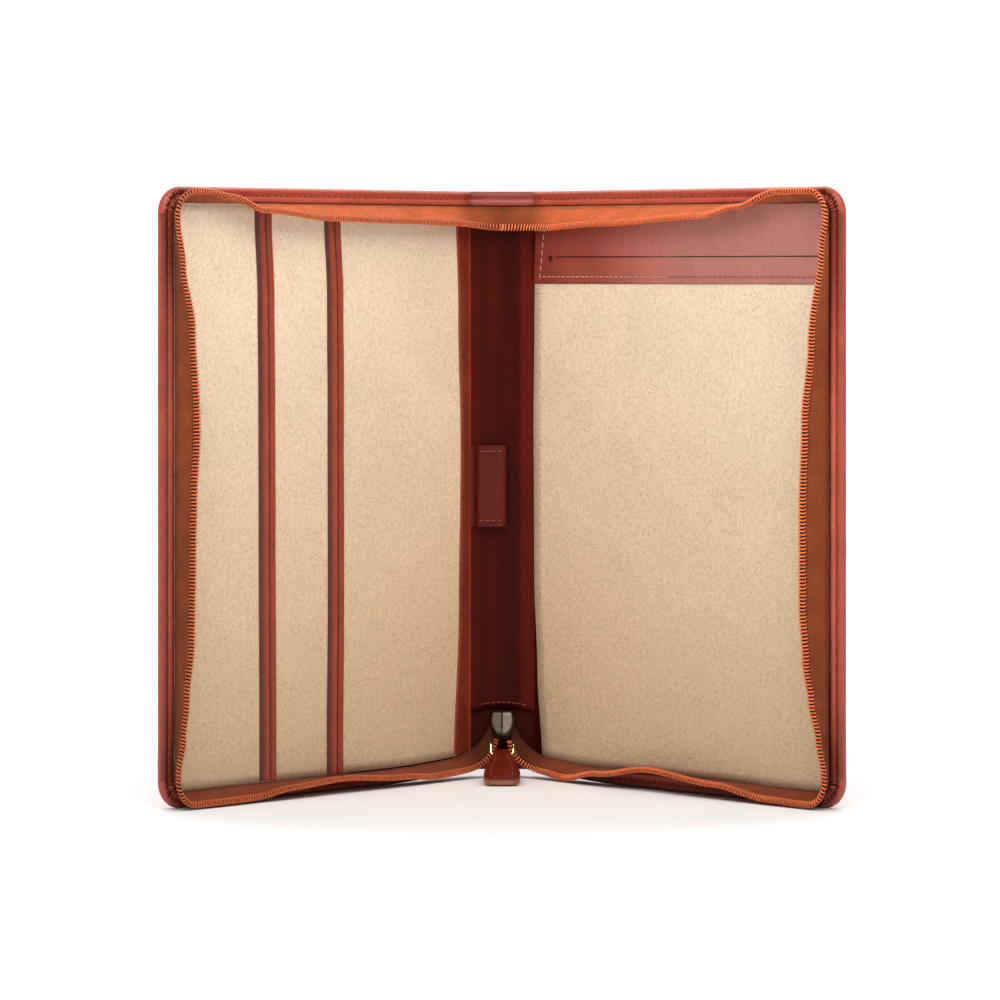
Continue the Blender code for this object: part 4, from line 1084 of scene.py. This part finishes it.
for side in (LEFT, RIGHT):
    name = NAMES[side]
    pairs = even(zip_line(side), COIL_PITCH / 2)
    count = len(pairs)
    tangents = [(pairs[min(i + 1, count - 1)][1] - pairs[max(i - 1, 0)][1]).normalized()
                for i in range(count)]
    rows, uvs, tones = [], [], []
    area = travelled = 0.0
    for i, (seam, coil) in enumerate(pairs):
        if i:
            travelled += (coil - pairs[i - 1][1]).length
            area += ((coil - pairs[i - 1][1]).length + (seam - pairs[i - 1][0]).length) / 2 * (
                (coil - seam).length)
        across = coil - seam
        bulge = across.cross(tangents[i]).normalized()
        wave = 0.45 * MM * bumpy(travelled * 22, side * 5.0, 0.3)
        wave *= smooth(travelled / 0.03)
        steps = [k / 8 for k in range(9)]
        rows.append([seam + across * t + bulge * (wave * sin(pi * t)) for t in steps])
        uvs.append([(travelled, across.length * t) for t in steps])
        # painted light and shade on the tape: lit along the top, shaded down the fore-edges and
        # towards the slider, darker by its seam and at the coil's edge
        if coil.z > 0.314:
            lit = keyed([(0.0, 0.62), (0.014, 0.80), (0.035, 1.60), (0.165, 1.60), (0.20, 1.0),
                         (0.26, 0.6)], travelled)
        else:
            lit = keyed([(0.0, 0.60), (0.05, 0.56), (0.24, 0.56),
                         (0.314, 0.62 if side == LEFT else 0.95)], coil.z)
        lit *= keyed([(0.958, 1.0), (0.986, 0.38)], i / (count - 1))
        tones.append([lit * (0.62 + 0.38 * smooth(k / 2.2)) * (0.35 if k == 8 else 1.0)
                      for k in range(9)])
    tape = grid(name + "_zip_tape_cloth", rows, TAPE, "zip_tape", uvs, shades=tones)
    thicken(tape, TAPE_THICK, 0.0)
    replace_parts(tape, name + "_zip_tape", "spine_zip_tape")
    bend_with_cover(tape)

    # the coil: a loop of filament at each pitch, round a dark core cord
    points, faces = [], []
    for i in range(0, count, 2):
        seam, coil = pairs[i]
        tangent = tangents[i]
        across = coil - seam
        across = (across - across.dot(tangent) * tangent).normalized()
        off = across.cross(tangent)
        middle = coil + across * CORE_PLACE
        # the last loops narrow, to go into the slider
        left_over = min(1.0, (count - i) / 40)
        wide, deep = COIL_WIDE * (0.62 + 0.38 * left_over), COIL_DEEP * (0.70 + 0.30 * left_over)
        ring = [middle + across * (wide * cosine) + off * (deep * sine)
                + tangent * (0.28 * COIL_PITCH * sine) for cosine, sine in circle(10)]
        more, more_faces = tube_data(ring, COIL_WIRE, 6, closed=True, start=len(points))
        points += more
        faces += more_faces
    # painted light: the right coil lighter than the left
    teeth = mesh_object(name + "_zip_coil_loops", points, faces, COIL, "zip_coil",
                        shades=[1.10 if side == LEFT else 1.50] * len(points))
    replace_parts(teeth, name + "_zip_coil", "spine_zip_coil")
    bend_with_cover(teeth)
    cores = [coil + (coil - seam).normalized() * CORE_PLACE for seam, coil in pairs]
    core = tube(name + "_zip_coil_core", cores, CORE_RADIUS, 8, CORE, "zip_coil")
    bend_with_cover(core)
    for facing, label in ((1, "inner"), (-1, "outer")):
        seam_line = []
        for (seam, coil), tangent in zip(pairs, tangents):
            across = (coil - seam).normalized()
            seam_line.append(coil - across * 0.0009 + across.cross(tangent) * facing * 0.28 * MM)
        thread = tube(name + "_zip_" + label + "_seam", seam_line, 0.20 * MM, 5, CORE, "zip_coil")
        bend_with_cover(thread)

# -------------------- slider, ring and pull tab
for node, made_of in (("slider_bridge", NICKEL), ("slider_lock_pawl", NICKEL),
                      ("pull_ring", BRASS)):
    obj = frame["nodes"][node]
    obj.data.materials.clear()
    obj.data.materials.append(made_of)

# the slider's pressed face plate: a shield with rolled edges and a groove down its middle
SLIDER_LEAN = radians(24)
SLIDER_DOWN = Vector((0, -sin(SLIDER_LEAN), -cos(SLIDER_LEAN)))
SLIDER_FACE = Vector((0, -cos(SLIDER_LEAN), sin(SLIDER_LEAN)))
slider_low, slider_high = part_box("slider_body")
plate_middle = (Vector(slider_low) + Vector(slider_high)) / 2
# (how far down, half width) of the plates, in millimetres
shield = [(-7.2, 4.9), (-6.8, 5.4), (-4.2, 6.1), (-1.5, 6.3), (1.0, 6.0), (3.2, 5.0), (5.0, 3.7),
          (6.2, 2.4), (6.7, 1.1), (6.8, 0.25)]


def slider_plate(name, level, facing):
    """One of the slider's two plates: level is how far it stands from the slider's middle."""
    rows, tones = [], []
    for p in rounded_path([Vector((d, w, 0)) for d, w in shield]):
        row, tone = [], []
        for k in range(33):
            x = -1 + k / 16
            near_end = max(abs(p.x + 0.2) / 7.0, abs(x))
            roll = max(0.0, (near_end - 0.84) / 0.16) ** 2
            across = abs(x * p.y)
            groove = 0.45 * max(0.0, 1 - across / 0.5)
            row.append(plate_middle + SLIDER_DOWN * p.x * MM + Vector((x * p.y * MM, 0, 0))
                       + SLIDER_FACE * facing * (level - roll - groove) * MM)
            # painted light and shade: the left half shaded and the right half lit, darker in the
            # groove and at the rolled edges
            half = 0.62 if x < -0.02 else 1.15
            tone.append(half * (0.30 if across < 0.3 else 1) * (1 - 0.25 * roll))
        rows.append(row)
        tones.append(tone)
    plate = grid(name, rows, SHADED_NICKEL, "slider_metal", shades=tones, flip=facing < 0)
    thicken(plate, PLATE_THICK)
    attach(plate, "zip_slider")
    return plate


front_plate = slider_plate("slider_front_plate", 3.0, 1)
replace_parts(front_plate, "slider_body")
slider_plate("slider_back_plate", 2.4, -1)
post = tube("slider_post", [plate_middle + SLIDER_DOWN * 4.6 * -MM + SLIDER_FACE * h * MM
                            for h in (-1.6, 0.0, 2.2)], 1.5 * MM, 16, NICKEL, "slider_metal")
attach(post, "zip_slider")

TAB_SLOPE = 0.2707
DOWN = Vector((0, -cos(TAB_SLOPE), -sin(TAB_SLOPE)))
FACE = Vector((0, -sin(TAB_SLOPE), cos(TAB_SLOPE)))
# half widths down the tab, in millimetres
TAB_SHAPE = [(-3.6, 3.6), (-3.0, 4.7), (-1.5, 5.2), (1.5, 5.3), (5.0, 5.6), (10, 6.5), (18, 8.3),
             (26, 9.7), (33, 10.4), (38.0, 10.5), (41.0, 10.2), (43.2, 9.2), (44.6, 7.4),
             (45.2, 5.4), (45.4, 3.0), (45.4, 0.0)]


def tab_outline(inset):
    """The tab's edge, set in by inset millimetres, as (x, down) pairs round the tab."""
    half = rounded_path([Vector((w, d, 0)) for d, w in TAB_SHAPE])
    ring = [(p.x, p.y) for p in half] + [(-p.x, p.y) for p in reversed(half[:-1])]
    return [(x * (1 - inset / 10.5), 21 + (y - 21) * (1 - inset / 24.4)) for x, y in ring]


def tab_point(x, down, up):
    return TAB_PIVOT + Vector((x * MM, 0, 0)) + DOWN * down * MM + FACE * up * MM


# (inset, height): the tab is two leathers round a core, with a painted edge
TAB_PROFILE = [(4.8, 2.02), (4.2, 1.88), (3.6, 2.02), (1.4, 1.98), (0.6, 1.80), (0.15, 1.45),
               (0.0, 1.10), (0.05, 0.15), (0.0, 0.0), (0.05, -0.15), (0.0, -1.10), (0.2, -1.60),
               (0.9, -1.85), (3.0, -1.90)]
points = []
for inset, up in TAB_PROFILE:
    ring = tab_outline(inset)
    sides = len(ring)
    for x, down in ring:
        swell = 0.15 * bumpy(x * 0.2, down * 0.12, 5.0)
        points.append(tab_point(x, down, up + swell))
faces = grid_faces(len(TAB_PROFILE), sides, closed=True)
faces.append(tuple(reversed(range(sides))))
last = (len(TAB_PROFILE) - 1) * sides
faces.append(tuple(last + k for k in range(sides)))
tab = mesh_object("pull_tab", points, faces, TAB, "trim_leather")
tab.data.materials.append(RAW_EDGE)
for polygon in tab.data.polygons:
    level = (polygon.center - TAB_PIVOT).dot(FACE) / MM
    if abs(polygon.normal.dot(FACE)) < 0.35 and abs(level) < 1.3:
        polygon.material_index = 1
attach(tab, "pull_tab")
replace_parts(tab, "pull_tab_leather", "pull_tab_core")
ring = [tab_point(x, down, 1.93) for x, down in tab_outline(4.2) if down > 6.0]
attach(stitches("pull_tab_stitches", ring, FACE, THREAD_RED, FINE_THREAD, pitch=0.0030,
                 proud=0.15 * MM), "pull_tab")

# -------------------- floor, light and camera
def paper(name):
    """White paper that glows away from the case, so that it stays white."""
    made = Nodes(name, 0.8)
    made.shader.inputs["Base Color"].default_value = (0.90, 0.90, 0.90, 1.0)
    away = made.add("ShaderNodeVectorMath", {0: made.where}, operation="LENGTH")
    glow = made.span(away.outputs["Value"], (0.16, 0.62), (0.0, 1.0))
    made.link(glow, made.shader.inputs["Emission Strength"])
    return made.set(Specular_IOR_Level=0.1, Emission_Color=(1, 1, 1, 1))


# a sweep of white paper: flat under the case, curving up far behind it
profile = [(-9.0, 0.0), (1.6, 0.0), (2.0, 0.03), (2.4, 0.14), (2.7, 0.34), (2.9, 0.65), (3.0, 1.1),
           (3.0, 6.0)]
rows = [[Vector((x, y, z)) for x in (-6, 0, 6)] for y, z in profile]
sweep = grid("studio_sweep", rows, paper("studio_paper"))


def lamp(name, place, target, size, power):
    data = bpy.data.lights.new(name, "AREA")
    data.shape = "RECTANGLE"
    data.size, data.size_y = size
    data.energy = power
    obj = bpy.data.objects.new(name, data)
    obj.location = place
    obj.rotation_euler = (Vector(target) - Vector(place)).to_track_quat("-Z", "Y").to_euler()
    SCENE.collection.objects.link(obj)


lamp("overhead_softbox", (0.0, -0.62, 0.98), (0, -0.02, 0.14), (1.3, 0.6), 12)
lamp("rear_softbox", (0.0, 0.60, 1.05), (0, 0.0, 0.10), (1.4, 0.5), 6)
lamp("left_softbox", (-1.3, -1.7, 0.75), (0, 0, 0.17), (0.7, 1.1), 1.6)
lamp("right_softbox", (1.3, -1.7, 0.75), (0, 0, 0.17), (0.7, 1.1), 2.3)

world = bpy.data.worlds.new("white_studio")
world.use_nodes = True
backdrop = world.node_tree.nodes["Background"].inputs
backdrop["Color"].default_value = (1, 1, 1, 1)
backdrop["Strength"].default_value = 0.15
SCENE.world = world
SCENE.view_settings.view_transform = "Standard"

camera = bpy.data.cameras.new("camera")
camera.lens = 175.6
camera.sensor_width = 36
camera.shift_x = -0.002
camera.shift_y = -0.228
camera.clip_end = 50
viewer = bpy.data.objects.new("camera", camera)
viewer.location = (0, HINGE_Y - 2.834, 0.293)
viewer.rotation_euler = (pi / 2, 0, 0)
SCENE.collection.objects.link(viewer)
SCENE.camera = viewer
